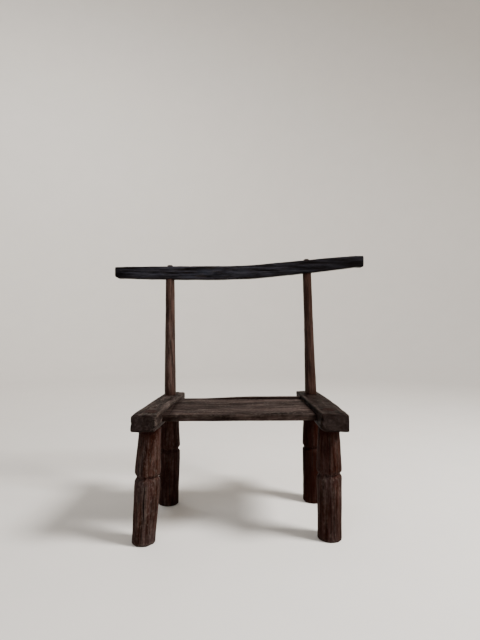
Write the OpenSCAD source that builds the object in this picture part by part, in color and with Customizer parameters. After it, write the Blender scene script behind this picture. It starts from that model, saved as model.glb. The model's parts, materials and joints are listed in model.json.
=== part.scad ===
// A low hand-hewn chair: a seat plank housed between two thick side rails, four thick legs that
// each carry one V-groove ring, two tapered back posts and a wide, bent crest rail.
// X runs to the chair's right as seen from in front, Y to its back and Z up. The origin is on the
// floor, under the middle of the whole chair.

/* [Seat frame] */
// Clear width between the side rails, half-way along them
seat_w = 341; // [280:1:410]
// Height of the tops of the side rails over the floor
rail_top_z = 295; // [240:1:360]
// Length of the left side rail
left_rail_len = 342; // [285:1:412]
// Length of the right side rail
right_rail_len = 348; // [285:1:420]
// Height of the left side rail's section
left_rail_h = 37; // [30:1:46]
// Height of the right side rail's section
right_rail_h = 40; // [32:1:48]
// Width of the left side rail at its front end
left_rail_front_w = 54.5; // [48:0.5:66]
// Width of the left side rail at its rear end
left_rail_rear_w = 54; // [48:0.5:66]
// Width of the right side rail at its front end
right_rail_front_w = 59.5; // [50:0.5:72]
// Width of the right side rail at its rear end
right_rail_rear_w = 61; // [52:0.5:74]
// How far the left side rail's outer face bellies out half-way along
left_rail_belly = 1.5; // [0:0.5:6]
// How far the right side rail's outer face bellies out half-way along
right_rail_belly = 4; // [0:0.5:8]
// Angle by which the left side rail's inner face closes in towards the back
left_toe = 5.7; // [0:0.1:7]
// Angle by which the right side rail's inner face closes in towards the back
right_toe = 1.3; // [0:0.1:7]
// How far the right side rail stands behind the left one
rail_stagger = 9; // [0:0.5:15]
// Radius of the worn arrises of the side rails
rail_round = 6; // [2:0.5:9]
// Cut across the upright corners of the side rails
rail_corner = 5; // [2:0.5:9]

/* [Seat plank] */
// Depth of the seat plank, front to back
plank_d = 231; // [190:1:278]
// Thickness of the seat plank
plank_t = 17; // [14:0.5:21]
// How far the seat plank's top lies under the tops of the side rails
plank_drop = 10; // [6:0.5:12]
// Middle of the seat plank behind the middle of the left side rail
plank_y = 5; // [-10:1:15]
// How far the plank's ends are housed in the side rails
tongue = 8; // [5:0.5:9]
// How much lower the top of those housed ends is than the seat
tongue_step = 1; // [0.5:0.5:3]
// Cut along the front and rear arrises of the plank
plank_edge = 2.5; // [1:0.5:5]
// Height of the raised strip at the back of the plank, at its right end
lip_h = 5.5; // [2:0.5:8]
// Front to back width of that raised strip
lip_d = 16; // [8:1:30]
// Where that raised strip starts, left of the middle of the seat
lip_start = 90; // [40:5:130]

/* [Legs] */
// Diameter of each leg under its side rail
leg_top_d = 47; // [40:1:50]
// Diameter of each leg on both sides of its ring groove
leg_girth_d = 57; // [48:1:68]
// Diameter of each leg at the floor
leg_foot_d = 54; // [45:1:65]
// Height of the ring groove over the floor
groove_z = 150; // [125:1:180]
// Width of the ring groove at the leg's surface
groove_w = 9; // [5:0.5:14]
// Depth of the ring groove
groove_depth = 4.5; // [2:0.5:7]
// Cut round the arris of each foot
foot_cut = 4; // [1:0.5:8]
// Diameter of the tenons of the front legs
leg_tenon_d = 28; // [22:1:32]
// Front end of the left side rail to the middle of its front leg
left_front_inset = 48; // [40:1:58]
// Front end of the right side rail to the middle of its front leg
right_front_inset = 55; // [40:1:62]
// Rear end of each side rail to the middle of its back post
rear_inset = 58; // [45:1:70]
// How far the front legs stand inboard of the middle of their side rails
front_leg_in = 4; // [0:0.5:6]
// How far the rear legs stand outboard of the middle of their side rails
rear_leg_out = 3; // [0:0.5:5]
// Outward splay of the front left leg
left_front_splay = 3.2; // [0:0.1:5]
// Outward splay of each of the other three legs
other_splay = 0.6; // [0:0.1:3]

/* [Back] */
// Diameter of each back post on its side rail
post_base_d = 29; // [26:0.5:36]
// Diameter of each back post under the crest rail
post_top_d = 23.5; // [20:0.5:28]
// Backward lean of the back posts
post_lean = 6.9; // [0:0.1:10]
// Outward tilt of the left back post, against its side rail
left_post_tilt = 1.6; // [-2:0.1:3]
// Outward tilt of the right back post, against its side rail
right_post_tilt = -0.5; // [-2:0.1:3]
// How far the left back post stands outboard of the middle of its side rail
left_post_out = 2.5; // [-1:0.5:4]
// How far the right back post stands outboard of the middle of its side rail
right_post_out = 0; // [-1:0.5:4]
// Diameter of the tenon under each back post, which pins the side rail to the rear leg
post_tenon_d = 22; // [17:0.5:25]
// Depth of the socket for that tenon in the head of the rear leg
leg_socket = 32; // [20:1:45]
// Diameter of the tenon on top of each back post
crest_tenon_d = 16; // [12:0.5:19]
// How far that tenon stands out of the top of the crest rail
tenon_proud = 3; // [0:0.5:5]
// Depth to which the shoulder of each back post is let into the crest rail
crest_seat = 4; // [3:0.5:8]

/* [Crest rail] */
// Length of the crest rail
crest_l = 701; // [560:1:840]
// Front to back thickness of the crest rail
crest_d = 34; // [30:1:42]
// Height of the crest rail's section at its middle
crest_h = 38.5; // [32:0.5:46]
// How much lower the section is at each end of the crest rail
crest_taper = 7.5; // [0:0.5:12]
// Height over the side rails of the middle line of the crest rail's level left half
crest_rise = 337; // [280:1:404]
// Slope of the crest rail's right arm, as rise over run
crest_slope = 0.111; // [0:0.005:0.15]
// Where the crest rail bends, right of its middle
crest_bend_x = 10; // [-60:5:60]
// Half-length of the bend
crest_bend_len = 60; // [20:5:120]
// Radius of the crest rail's long arrises
crest_round = 7; // [3:0.5:10]
// Middle of the crest rail right of the middle of the seat
crest_shift = 5.5; // [-10:0.5:10]

/* [Fits] */
// Gap all round each tenon in its hole, and round the plank in its housings
fit_gap = 0.15; // [0.05:0.05:0.4]

/* [Hidden] */

LEFT = -1;
RIGHT = 1;
FRONT = -1;
REAR = 1;
SKIN = 0.01;           // thickness of the sheets that a rail is stretched over
BEYOND = 60;           // how far a cutting shape reaches past what it cuts
ARC_STEPS = 3;         // steps in a quarter round of a side rail's arris
CREST_STATIONS = 36;   // cross-sections along the crest rail
CREST_ARC_STEPS = 3;   // steps in a quarter round of the crest rail's arris

RAIL_COLOUR = [0.33, 0.27, 0.23];
PLANK_COLOUR = [0.30, 0.24, 0.20];
LEG_COLOUR = [0.29, 0.19, 0.15];
POST_COLOUR = [0.26, 0.20, 0.17];
CREST_COLOUR = [0.12, 0.11, 0.12];

// ---- Places. A side rail is laid out from its inner face: x outboard, y back along the face. ----
function is_left(side) = side == LEFT;
function rail_len(side) = is_left(side) ? left_rail_len : right_rail_len;
function rail_h(side) = is_left(side) ? left_rail_h : right_rail_h;
function rail_front_w(side) = is_left(side) ? left_rail_front_w : right_rail_front_w;
function rail_rear_w(side) = is_left(side) ? left_rail_rear_w : right_rail_rear_w;
function rail_belly(side) = is_left(side) ? left_rail_belly : right_rail_belly;
function toe(side) = is_left(side) ? left_toe : right_toe;
function rail_bottom_z(side) = rail_top_z - rail_h(side);

function rail_x(side) = side * seat_w / 2 - crest_shift;
function rail_y(side) = is_left(side) ? 0 : rail_stagger;

// Width of a side rail at a place along it
function rail_w(side, y) =
    let (share = y / rail_len(side) + 0.5)
    rail_front_w(side) * (1 - share) + rail_rear_w(side) * share
        + rail_belly(side) * (1 - pow(2 * share - 1, 2));

// Middle of a leg's head along its side rail, and out from the rail's inner face
function front_inset(side) = is_left(side) ? left_front_inset : right_front_inset;
function post_y(side) = rail_len(side) / 2 - rear_inset;
function leg_y(side, end) = end == FRONT
    ? front_inset(side) - rail_len(side) / 2
    : post_y(side) - rail_h(side) * tan(post_lean);
function leg_x(side, end) =
    rail_w(side, leg_y(side, end)) / 2 + (end == FRONT ? -front_leg_in : rear_leg_out);
function splay(side, end) = is_left(side) && end == FRONT ? left_front_splay : other_splay;

// A back post's axis stands on the rail's top at post_x, post_y
function post_x(side) =
    rail_w(side, post_y(side)) / 2 + (is_left(side) ? left_post_out : right_post_out);
function post_tilt(side) = is_left(side) ? left_post_tilt : right_post_tilt;

// Where a back post's axis passes a given height, in the chair's own X and Y
function post_xy(side, z) =
    let (
        up = z - rail_top_z,
        x = post_x(side) + up * tan(post_tilt(side)),
        y = post_y(side) + up * tan(post_lean) / cos(post_tilt(side)),
        turn = toe(side)
    )
    [
        rail_x(side) + side * (x * cos(turn) - y * sin(turn)),
        rail_y(side) + x * sin(turn) + y * cos(turn)
    ];

// The crest rail runs from one post's axis to the other's
crest_mid_z = rail_top_z + crest_rise;
crest_left_xy = post_xy(LEFT, crest_mid_z);
crest_right_xy = post_xy(RIGHT, crest_mid_z);
crest_yaw = atan2(crest_right_xy[1] - crest_left_xy[1], crest_right_xy[0] - crest_left_xy[0]);
crest_y = crest_left_xy[1] - crest_left_xy[0] * tan(crest_yaw);

// The left rail's inner front corner and the crest rail's right end set where the middle is
front_y = sin(left_toe) * rail_corner - cos(left_toe) * left_rail_len / 2;
back_y = crest_y + sin(crest_yaw) * crest_l / 2 + cos(crest_yaw) * crest_d / 2;
middle_y = (front_y + back_y) / 2;

// Middle height and section height of the crest rail at a place along it
function crest_z(x) =
    let (past = x - crest_bend_x)
    crest_mid_z + crest_slope * (past + sqrt(past * past + pow(crest_bend_len, 2))) / 2;
function crest_section_h(x) = crest_h - crest_taper * pow(2 * x / crest_l, 4);
function crest_under(x) = crest_z(x) - crest_section_h(x) / 2;
function crest_over(x) = crest_z(x) + crest_section_h(x) / 2;

// Length of a back post's axis from the top of its side rail up to a given height
function along_post(side, z) = (z - rail_top_z) / (cos(post_lean) * cos(post_tilt(side)));
function post_shoulder(side) =
    let (x = post_xy(side, crest_mid_z)[0])
    along_post(side, crest_under(x) + crest_seat);
function post_tip(side) =
    let (x = post_xy(side, crest_mid_z)[0])
    along_post(side, crest_over(x) + tenon_proud);

// ---- Frames ----
module chair_frame() {
    translate([0, -middle_y, 0])
        children();
}

module rail_frame(side) {
    chair_frame()
        translate([rail_x(side), rail_y(side), 0])
        mirror([is_left(side) ? 1 : 0, 0, 0])
        rotate([0, 0, toe(side)])
        children();
}

// A leg's axis, from the underside of its side rail
module leg_frame(side, end) {
    rail_frame(side)
        translate([leg_x(side, end), leg_y(side, end), rail_bottom_z(side)])
        rotate([0, -splay(side, end), 0])
        children();
}

// A back post's axis, from the top of its side rail
module post_frame(side) {
    rail_frame(side)
        translate([post_x(side), post_y(side), rail_top_z])
        rotate([-post_lean, post_tilt(side), 0])
        children();
}

module crest_frame() {
    chair_frame()
        translate([0, crest_y, 0])
        rotate([0, 0, crest_yaw])
        children();
}

// Everything between two heights
module between(low, high) {
    reach = 2 * (crest_l + left_rail_len);
    translate([-reach / 2, -reach / 2, low])
        cube([reach, reach, high - low]);
}

// ---- Side rails ----
function rail_outline(side, inset) =
    let (
        half = rail_len(side) / 2,
        front = -half + inset,
        rear = half - inset,
        front_w = rail_w(side, -half) - inset,
        middle_w = rail_w(side, 0) - inset,
        rear_w = rail_w(side, half) - inset
    )
    [
        [inset + rail_corner, front],
        [front_w - rail_corner, front],
        [front_w, front + rail_corner],
        [middle_w, 0],
        [rear_w, rear - rail_corner],
        [rear_w - rail_corner, rear],
        [inset + rail_corner, rear],
        [inset, rear - rail_corner],
        [inset, front + rail_corner]
    ];

module rail_sheet(side, z, inset) {
    translate([0, 0, z])
        linear_extrude(height = SKIN)
        polygon(rail_outline(side, inset));
}

module rail_block(side) {
    rail_frame(side)
        hull()
        for (step = [0 : ARC_STEPS]) {
            angle = 90 * step / ARC_STEPS;
            inset = rail_round * (1 - sin(angle));
            rise = rail_round * (1 - cos(angle));
            rail_sheet(side, rail_bottom_z(side) + rise, inset);
            rail_sheet(side, rail_top_z - rise - SKIN, inset);
        }
}

module side_rail(side) {
    difference() {
        rail_block(side);
        plank_body(tongue + fit_gap, tongue_step, fit_gap);
        leg_frame(side, FRONT)
            translate([0, 0, -BEYOND])
            cylinder(d = leg_tenon_d + 2 * fit_gap, h = rail_h(side) + 2 * BEYOND, $fn = 64);
        post_frame(side)
            translate([0, 0, -rail_h(side) - BEYOND])
            cylinder(d = post_tenon_d + 2 * fit_gap, h = rail_h(side) + 2 * BEYOND, $fn = 64);
    }
}

module left_side_rail() {
    color(RAIL_COLOUR)
        side_rail(LEFT);
}

module right_side_rail() {
    color(RAIL_COLOUR)
        side_rail(RIGHT);
}

// ---- Seat plank ----
// The plank, reaching a given depth into both side rails, with its top lowered by a step. A gap
// makes it larger all round, to cut its own housings.
module plank_body(depth, step, gap) {
    length = seat_w + 2 * BEYOND;
    half_d = plank_d / 2 + gap;
    top = rail_top_z - plank_drop - step + gap;
    bottom = rail_top_z - plank_drop - plank_t - gap;
    intersection() {
        chair_frame()
            translate([-length / 2 - crest_shift, plank_y, 0])
            rotate([90, 0, 90])
            linear_extrude(height = length)
            polygon([
                [-half_d, bottom + plank_edge],
                [-half_d + plank_edge, bottom],
                [half_d - plank_edge, bottom],
                [half_d, bottom + plank_edge],
                [half_d, top - plank_edge],
                [half_d - plank_edge, top],
                [-half_d + plank_edge, top],
                [-half_d, top - plank_edge]
            ]);
        inside_rail(LEFT, depth);
        inside_rail(RIGHT, depth);
    }
}

// All that lies inboard of a line a given depth into a side rail's inner face
module inside_rail(side, depth) {
    reach = 2 * seat_w;
    rail_frame(side)
        translate([depth - reach, -reach / 2, 0])
        cube([reach, reach, rail_top_z + BEYOND]);
}

// The strip left standing along the rear edge, which grows towards the right
module plank_lip() {
    top = rail_top_z - plank_drop;
    start = -crest_shift - lip_start;
    intersection() {
        chair_frame()
            translate([0, plank_y + plank_d / 2 - plank_edge, 0])
            rotate([90, 0, 0])
            linear_extrude(height = lip_d)
            polygon([
                [start, top - plank_edge],
                [seat_w, top - plank_edge],
                [seat_w, top + lip_h],
                [-crest_shift, top + lip_h * 0.8],
                [start, top]
            ]);
        inside_rail(RIGHT, -fit_gap);
    }
}

module seat_plank() {
    color(PLANK_COLOUR)
        union() {
            plank_body(-fit_gap, 0, 0);
            plank_body(tongue, tongue_step, 0);
            plank_lip();
        }
}

// ---- Legs ----
// Half of a leg's outline, from its foot up to its head, with z measured up from the rail's underside
module leg_outline(floor_z) {
    groove_at = floor_z + groove_z;
    girth = leg_girth_d / 2;
    foot = leg_foot_d / 2;
    shoulder = groove_depth / 5;
    polygon([
        [0, floor_z - foot_cut],
        [foot - 2 * foot_cut, floor_z - foot_cut],
        [foot, floor_z + foot_cut],
        [girth, groove_at - groove_w],
        [girth - shoulder, groove_at - groove_w / 2],
        [girth - groove_depth, groove_at],
        [girth - shoulder, groove_at + groove_w / 2],
        [girth, groove_at + groove_w],
        [leg_top_d / 2, 0],
        [leg_top_d / 2, leg_top_d / 4],
        [0, leg_top_d / 4]
    ]);
}

module leg_blank(side, end) {
    intersection() {
        leg_frame(side, end)
            rotate_extrude($fn = 96)
            leg_outline(-rail_bottom_z(side));
        between(0, rail_bottom_z(side));
    }
}

module front_leg(side) {
    union() {
        leg_blank(side, FRONT);
        intersection() {
            leg_frame(side, FRONT)
                translate([0, 0, -leg_tenon_d])
                cylinder(d = leg_tenon_d, h = rail_h(side) + leg_tenon_d + BEYOND, $fn = 64);
            between(rail_bottom_z(side) - leg_tenon_d / 2, rail_top_z);
        }
    }
}

module rear_leg(side) {
    difference() {
        leg_blank(side, REAR);
        post_frame(side)
            translate([0, 0, -rail_h(side) / cos(post_lean) - leg_socket])
            cylinder(d = post_tenon_d + 2 * fit_gap, h = leg_socket + BEYOND, $fn = 64);
    }
}

module front_left_leg() {
    color(LEG_COLOUR)
        front_leg(LEFT);
}

module front_right_leg() {
    color(LEG_COLOUR)
        front_leg(RIGHT);
}

module rear_left_leg() {
    color(LEG_COLOUR)
        rear_leg(LEFT);
}

module rear_right_leg() {
    color(LEG_COLOUR)
        rear_leg(RIGHT);
}

// ---- Back posts ----
module back_post(side) {
    shoulder = post_shoulder(side);
    widening = (post_base_d - post_top_d) / shoulder;
    foot = post_base_d / 2;
    socket = rail_h(side) / cos(post_lean) + leg_socket - 1;
    union() {
        intersection() {
            post_frame(side)
                translate([0, 0, -foot])
                cylinder(d1 = post_base_d + widening * foot, d2 = post_top_d, h = shoulder + foot, $fn = 96);
            between(rail_top_z, rail_top_z + 2 * crest_rise);
        }
        post_frame(side)
            translate([0, 0, -socket])
            cylinder(d = post_tenon_d, h = socket + foot, $fn = 64);
        post_frame(side)
            translate([0, 0, shoulder - foot])
            cylinder(d = crest_tenon_d, h = post_tip(side) - shoulder + foot, $fn = 64);
    }
}

module left_back_post() {
    color(POST_COLOUR)
        back_post(LEFT);
}

module right_back_post() {
    color(POST_COLOUR)
        back_post(RIGHT);
}

// ---- Crest rail ----
// One corner of the section: a quarter round that starts at a given angle
function crest_corner(start) = [
    for (step = [0 : CREST_ARC_STEPS])
        let (angle = start + 90 * step / CREST_ARC_STEPS)
        [crest_round * cos(angle), crest_round * sin(angle)]
];

// The section at a place along the crest rail, anticlockwise seen from the right
function crest_section(x) =
    let (
        half_d = crest_d / 2 - crest_round,
        half_h = crest_section_h(x) / 2 - crest_round,
        middle = crest_z(x)
    )
    [
        for (corner = [[1, 1, 0], [-1, 1, 90], [-1, -1, 180], [1, -1, 270]])
            for (p = crest_corner(corner[2]))
                [x, corner[0] * half_d + p[0], middle + corner[1] * half_h + p[1]]
    ];

module crest_blank() {
    ring = 4 * (CREST_ARC_STEPS + 1);
    stations = [for (i = [0 : CREST_STATIONS]) crest_l * (i / CREST_STATIONS - 0.5)];
    points = [for (x = stations) each crest_section(x)];
    skin = [
        for (i = [0 : CREST_STATIONS - 1])
            for (j = [0 : ring - 1])
                let (a = i * ring + j, b = i * ring + (j + 1) % ring)
                each [[a, a + ring, b], [b, a + ring, b + ring]]
    ];
    left_end = [[for (j = [0 : ring - 1]) j]];
    right_end = [[for (j = [ring - 1 : -1 : 0]) CREST_STATIONS * ring + j]];
    crest_frame()
        polyhedron(points = points, faces = concat(skin, left_end, right_end));
}

// A tenon hole along a back post, with the shallow seat that takes the post's shoulder
module crest_mortise(side) {
    shoulder = post_shoulder(side);
    post_frame(side) {
        translate([0, 0, shoulder - BEYOND])
            cylinder(d = post_top_d + 2 * fit_gap, h = BEYOND, $fn = 96);
        translate([0, 0, shoulder - 1])
            cylinder(d = crest_tenon_d + 2 * fit_gap, h = 2 * BEYOND, $fn = 64);
    }
}

module crest_rail() {
    color(CREST_COLOUR)
        difference() {
            crest_blank();
            crest_mortise(LEFT);
            crest_mortise(RIGHT);
        }
}

left_side_rail();
right_side_rail();
seat_plank();
front_left_leg();
front_right_leg();
rear_left_leg();
rear_right_leg();
left_back_post();
right_back_post();
crest_rail();
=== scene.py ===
"""Low hand-hewn chair: detailed wooden pieces, their finishes and a plain studio.

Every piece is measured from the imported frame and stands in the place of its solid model.
"""

import json
import math

import bpy
import numpy as np
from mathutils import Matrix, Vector

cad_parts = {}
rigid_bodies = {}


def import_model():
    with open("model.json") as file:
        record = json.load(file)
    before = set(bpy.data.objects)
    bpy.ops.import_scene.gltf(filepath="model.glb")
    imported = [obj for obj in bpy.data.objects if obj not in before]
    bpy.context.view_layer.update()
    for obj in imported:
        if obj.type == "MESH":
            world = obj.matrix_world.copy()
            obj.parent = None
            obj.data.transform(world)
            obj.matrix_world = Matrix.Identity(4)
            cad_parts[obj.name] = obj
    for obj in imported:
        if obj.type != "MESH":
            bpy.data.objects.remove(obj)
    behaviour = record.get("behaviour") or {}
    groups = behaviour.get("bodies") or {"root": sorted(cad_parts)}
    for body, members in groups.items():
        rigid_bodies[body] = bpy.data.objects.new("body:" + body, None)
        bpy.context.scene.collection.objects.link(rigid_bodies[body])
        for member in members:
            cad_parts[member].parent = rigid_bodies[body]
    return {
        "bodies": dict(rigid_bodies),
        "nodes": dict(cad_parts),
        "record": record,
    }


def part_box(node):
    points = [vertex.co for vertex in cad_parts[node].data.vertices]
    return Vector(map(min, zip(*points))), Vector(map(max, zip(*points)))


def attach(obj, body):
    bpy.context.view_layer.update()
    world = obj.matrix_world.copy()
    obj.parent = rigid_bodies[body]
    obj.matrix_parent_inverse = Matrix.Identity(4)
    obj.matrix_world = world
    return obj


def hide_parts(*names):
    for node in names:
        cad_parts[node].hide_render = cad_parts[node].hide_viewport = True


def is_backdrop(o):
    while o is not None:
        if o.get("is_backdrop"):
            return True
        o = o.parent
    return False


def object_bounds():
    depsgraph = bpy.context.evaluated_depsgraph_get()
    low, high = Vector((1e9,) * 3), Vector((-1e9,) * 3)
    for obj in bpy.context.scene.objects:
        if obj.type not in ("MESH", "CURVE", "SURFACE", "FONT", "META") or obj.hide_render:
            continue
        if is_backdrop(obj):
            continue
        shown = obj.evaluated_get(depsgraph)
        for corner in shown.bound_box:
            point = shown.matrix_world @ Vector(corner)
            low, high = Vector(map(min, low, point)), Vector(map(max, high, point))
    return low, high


bl_info = {
    "name": "Hand-hewn low chair",
    "version": (1, 0, 0),
    "blender": (4, 5, 0),
    "location": "3D View > Sidebar > Low chair",
    "description": "Builds the pieces, finishes and studio of a low hand-hewn chair",
    "category": "Object",
}

MM = 0.001

# Play left round every tenon and tongue
FIT_GAP = 0.15 * MM
# How far the tops of the seat plank and of its tongues lie under the side rails' tops
PLANK_DROP = 10 * MM
TONGUE_DROP = 11 * MM
# How far the middle of each piece lies from the pith of its tree, across and up
FROM_PITH = (0.022, 0.045)
# Seeds of the rough end grain and of the broken edges of chips
CAP_SEEDS = (31, 32)
CHIP_SEED = 77
# Edges that turn more sharply than this stay crisp
SHARP_ANGLE = math.radians(52)

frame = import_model()
bpy.context.view_layer.update()
CAD_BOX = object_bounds()
RECORD = frame["record"]
BODY = next(iter(frame["bodies"]))

LEG_NODES = ("front_left_leg", "front_right_leg", "rear_left_leg", "rear_right_leg")
RAIL_NODES = ("left_side_rail", "right_side_rail")
POST_NODES = ("left_back_post", "right_back_post")


# ---------------------------------------------------------------- measuring the frame
def mesh_points(mesh):
    """All corner points of a mesh, as rows of X, Y and Z."""
    points = np.empty(len(mesh.vertices) * 3)
    mesh.vertices.foreach_get("co", points)
    return points.reshape(-1, 3)


def node_points(node):
    """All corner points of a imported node."""
    return mesh_points(frame["nodes"][node].data)


def band(points, axis, low, high):
    """The points between two values of one coordinate."""
    return points[(points[:, axis] >= low) & (points[:, axis] <= high)]


def middle(points):
    """The middle of the box round some points."""
    return (points.min(0) + points.max(0)) / 2


RAIL_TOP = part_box("left_side_rail")[1].z
RAIL_UNDERSIDE = {side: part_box(side)[0].z for side in RAIL_NODES}


def rail_of(node):
    """The side rail on a piece's own side."""
    return RAIL_NODES[0] if "left" in node else RAIL_NODES[1]


# ---------------------------------------------------------------- seeded noise
def lattice(x, y, z, seed):
    """One repeatable value between -1 and 1 for each whole-numbered point.

    The large primes only stir the bits of the three numbers and the seed together.
    """
    h = (x * 73856093) ^ (y * 19349663) ^ (z * 83492791) ^ (seed * 40503 + 977)
    h = (h & 0x7FFFFFFF) * 1274126177
    h = (h ^ (h >> 15)) & 0x7FFFFFFF
    h = (h * 668265263) & 0x7FFFFFFFFFFF
    return ((h >> 12) & 0xFFFF) / 32767.5 - 1.0


def smooth_noise(points, seed):
    """Smooth noise between -1 and 1 at points of any array shape."""
    cell = np.floor(points).astype(np.int64)
    f = points - cell
    f = f * f * (3.0 - 2.0 * f)
    total = 0.0
    for i in (0, 1):
        for j in (0, 1):
            for k in (0, 1):
                weight = (
                    np.where(i, f[..., 0], 1 - f[..., 0])
                    * np.where(j, f[..., 1], 1 - f[..., 1])
                    * np.where(k, f[..., 2], 1 - f[..., 2])
                )
                total = total + weight * lattice(
                    cell[..., 0] + i, cell[..., 1] + j, cell[..., 2] + k, seed
                )
    return total


def grain_noise(local, across, along, seed):
    """Noise stretched along the grain, which runs along the third local coordinate."""
    return smooth_noise(local / np.array((across, across, along)), seed)


def patches(local, across, along, seed, low=0.0, high=0.6):
    """Soft-edged patches stretched along the grain, from 0 between them to 1 in their middles."""
    return smoothstep(low, high, grain_noise(local, across, along, seed))


def wander(s, length, seed):
    """A slow one-dimensional drift along a piece, between -1 and 1."""
    s = np.asarray(s, float)
    line = np.stack([s / length, np.full_like(s, 0.37), np.full_like(s, 0.71)], -1)
    return smooth_noise(line, seed)


def smoothstep(low, high, value):
    """0 below low, 1 above high and a smooth rise between."""
    t = np.clip((value - low) / (high - low), 0.0, 1.0)
    return t * t * (3.0 - 2.0 * t)


def hump(distance, width):
    """A round swelling, 1 at no distance and near 0 beyond two widths."""
    return np.exp(-((distance / width) ** 2))


# ---------------------------------------------------------------- cross-sections
class RoundSection:
    """A closed round section. A column is an angle, 0 to the right and -90 degrees to the front."""

    def __init__(self, radius, spacing, checks):
        self.radius = radius
        self.size = 2 * math.pi
        count = int(round(self.size * radius / spacing))
        self.columns = with_check_columns(
            np.arange(count) * self.size / count, checks, self, spacing
        )

    def reach(self, columns, at):
        """Distance along the surface from a column to another."""
        gap = (columns - at + math.pi) % self.size - math.pi
        return gap * self.radius

    def step(self, at):
        """Columns in a metre of surface."""
        return 1.0 / self.radius

    def points(self, columns, half_u, half_v, shrink):
        """Places and outward directions of the columns, for a section of some half sizes."""
        u, v = np.cos(columns), np.sin(columns)
        return (half_u - shrink) * u, (half_v - shrink) * v, u, v


class BoxSection:
    """A closed rounded box section, with its own radius at each corner.

    A column counts from 0 to 8 round the section: right side, upper right corner, top, upper left
    corner, left side, lower left corner, underside and lower right corner.
    """

    size = 8.0
    corners = np.array(((1, 1), (-1, 1), (-1, -1), (1, -1)), float)

    def __init__(self, half_u, half_v, radii, spacing, checks, extra=()):
        self.radii = np.array(radii)
        self.sides = np.array(
            [
                2 * (half_v if k % 2 == 0 else half_u)
                - self.radii[k]
                - self.radii[(k - 1) % 4]
                for k in range(4)
            ]
        )
        columns = []
        for k in range(4):
            count = max(2, int(round(self.sides[k] / spacing)))
            columns += [2 * k + i / count for i in range(count)]
            count = max(4, int(round(self.radii[k] * math.pi / 2 / spacing)))
            columns += [2 * k + 1 + i / count for i in range(count)]
        columns = np.unique(np.concatenate([columns, np.array(extra, float)]))
        self.columns = with_check_columns(columns, checks, self, spacing)

    def segment_length(self, at):
        """Length along the surface of the side or corner that a column is on."""
        k = int(at // 2) % 4
        if int(at) % 2:
            return self.radii[k] * math.pi / 2
        return self.sides[k]

    def reach(self, columns, at):
        """Distance along the surface from a column, true on the column's own side."""
        gap = (columns - at + 4.0) % 8.0 - 4.0
        return gap * self.segment_length(at)

    def step(self, at):
        """Columns in a metre of surface."""
        return 1.0 / self.segment_length(at)

    def points(self, columns, half_u, half_v, shrink):
        """Places and outward directions of the columns, for a section of some half sizes."""
        t = np.mod(columns, 8.0)
        k = np.floor(t / 2).astype(int) % 4
        is_corner = np.floor(t).astype(int) % 2 == 1
        f = t % 1.0
        start, end = self.corners[(k - 1) % 4], self.corners[k]
        share = np.where(is_corner, 1.0, f)[..., None]
        place = start * (1 - share) + end * share
        radius = np.where(
            is_corner,
            self.radii[k],
            self.radii[(k - 1) % 4] * (1 - f) + self.radii[k] * f,
        )
        angle = (k + np.where(is_corner, f, 0.0)) * math.pi / 2
        nu, nv = np.cos(angle), np.sin(angle)
        radius = radius + 0.35 * shrink
        u = place[..., 0] * (half_u - shrink - radius) + radius * nu
        v = place[..., 1] * (half_v - shrink - radius) + radius * nv
        return u, v, nu, nv


class Check:
    """A drying check: a long narrow split along the grain."""

    def __init__(self, at, low, high, width, depth, seed):
        self.at, self.low, self.high = at, low, high
        self.width, self.depth, self.seed = width, depth, seed


def check_list(rows, length, settings, seed, is_round=False):
    """Checks from rows of place round the section, first and last share of length, width and depth."""
    return [
        Check(
            math.radians(at) % (2 * math.pi) if is_round else at,
            low * length,
            high * length,
            width * MM * settings.check_width,
            depth * MM,
            seed + i,
        )
        for i, (at, low, high, width, depth) in enumerate(rows)
    ]


def with_check_columns(columns, checks, section, spacing):
    """The columns, with a fine set of them across each check."""
    for check in checks:
        clear = np.abs(section.reach(columns, check.at)) > check.width / 2 + 0.35 * spacing
        columns = columns[clear]
        offsets = np.array((-1, -0.45, 0, 0.45, 1)) * check.width / 2 * section.step(check.at)
        columns = np.concatenate([columns, check.at + offsets])
    return np.unique(np.mod(columns, section.size))


# ---------------------------------------------------------------- making a piece
class Stock:
    """A length of wood: where its section's middle starts, and its across, up and along directions."""

    def __init__(self, start, end, across, up):
        self.start = np.array(start, float)
        run = np.array(end, float) - self.start
        self.length = float(np.linalg.norm(run))
        self.along = run / self.length
        self.across = np.array(across, float) / np.linalg.norm(across)
        self.up = np.array(up, float) / np.linalg.norm(up)

    def world(self, u, v, s):
        """Places in the frame for places across, up and along the wood."""
        return (
            self.start
            + u[..., None] * self.across
            + v[..., None] * self.up
            + s[..., None] * self.along
        )


def end_rings(length, rounding, steps=5):
    """Places of the close rings that round off both ends, from the start of a piece."""
    near = rounding * (1 - np.cos(np.linspace(0, math.pi / 2, steps + 1)[:-1]))
    return near, length - near[::-1]


def ring_places(length, spacing, rounding, fine=()):
    """Places along a piece for its rings, closer at its rounded ends and in fine stretches."""
    near, far = end_rings(length, rounding)
    count = int(round((length - 2 * rounding) / spacing))
    places = np.concatenate([near, np.linspace(rounding, length - rounding, count), far])
    for low, high, step in fine:
        places = places[(places < low) | (places > high)]
        places = np.concatenate([places, np.arange(low, high + step / 2, step)])
    return np.unique(np.round(places, 6))


def with_step(rings, at, offsets):
    """The rings, with a close set of them where the section steps in or out."""
    rings = rings[np.abs(rings - at) > 0.8 * MM]
    return np.unique(np.concatenate([rings, at + MM * np.array(offsets)]))


def end_shrink(s, length, rounding):
    """How much a quarter round at each end draws the section in."""
    from_end = np.minimum(s, length - s)
    inside = np.clip(1 - from_end / rounding, 0.0, 1.0)
    return rounding * (1 - np.sqrt(np.maximum(0.0, 1 - inside * inside)))


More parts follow.
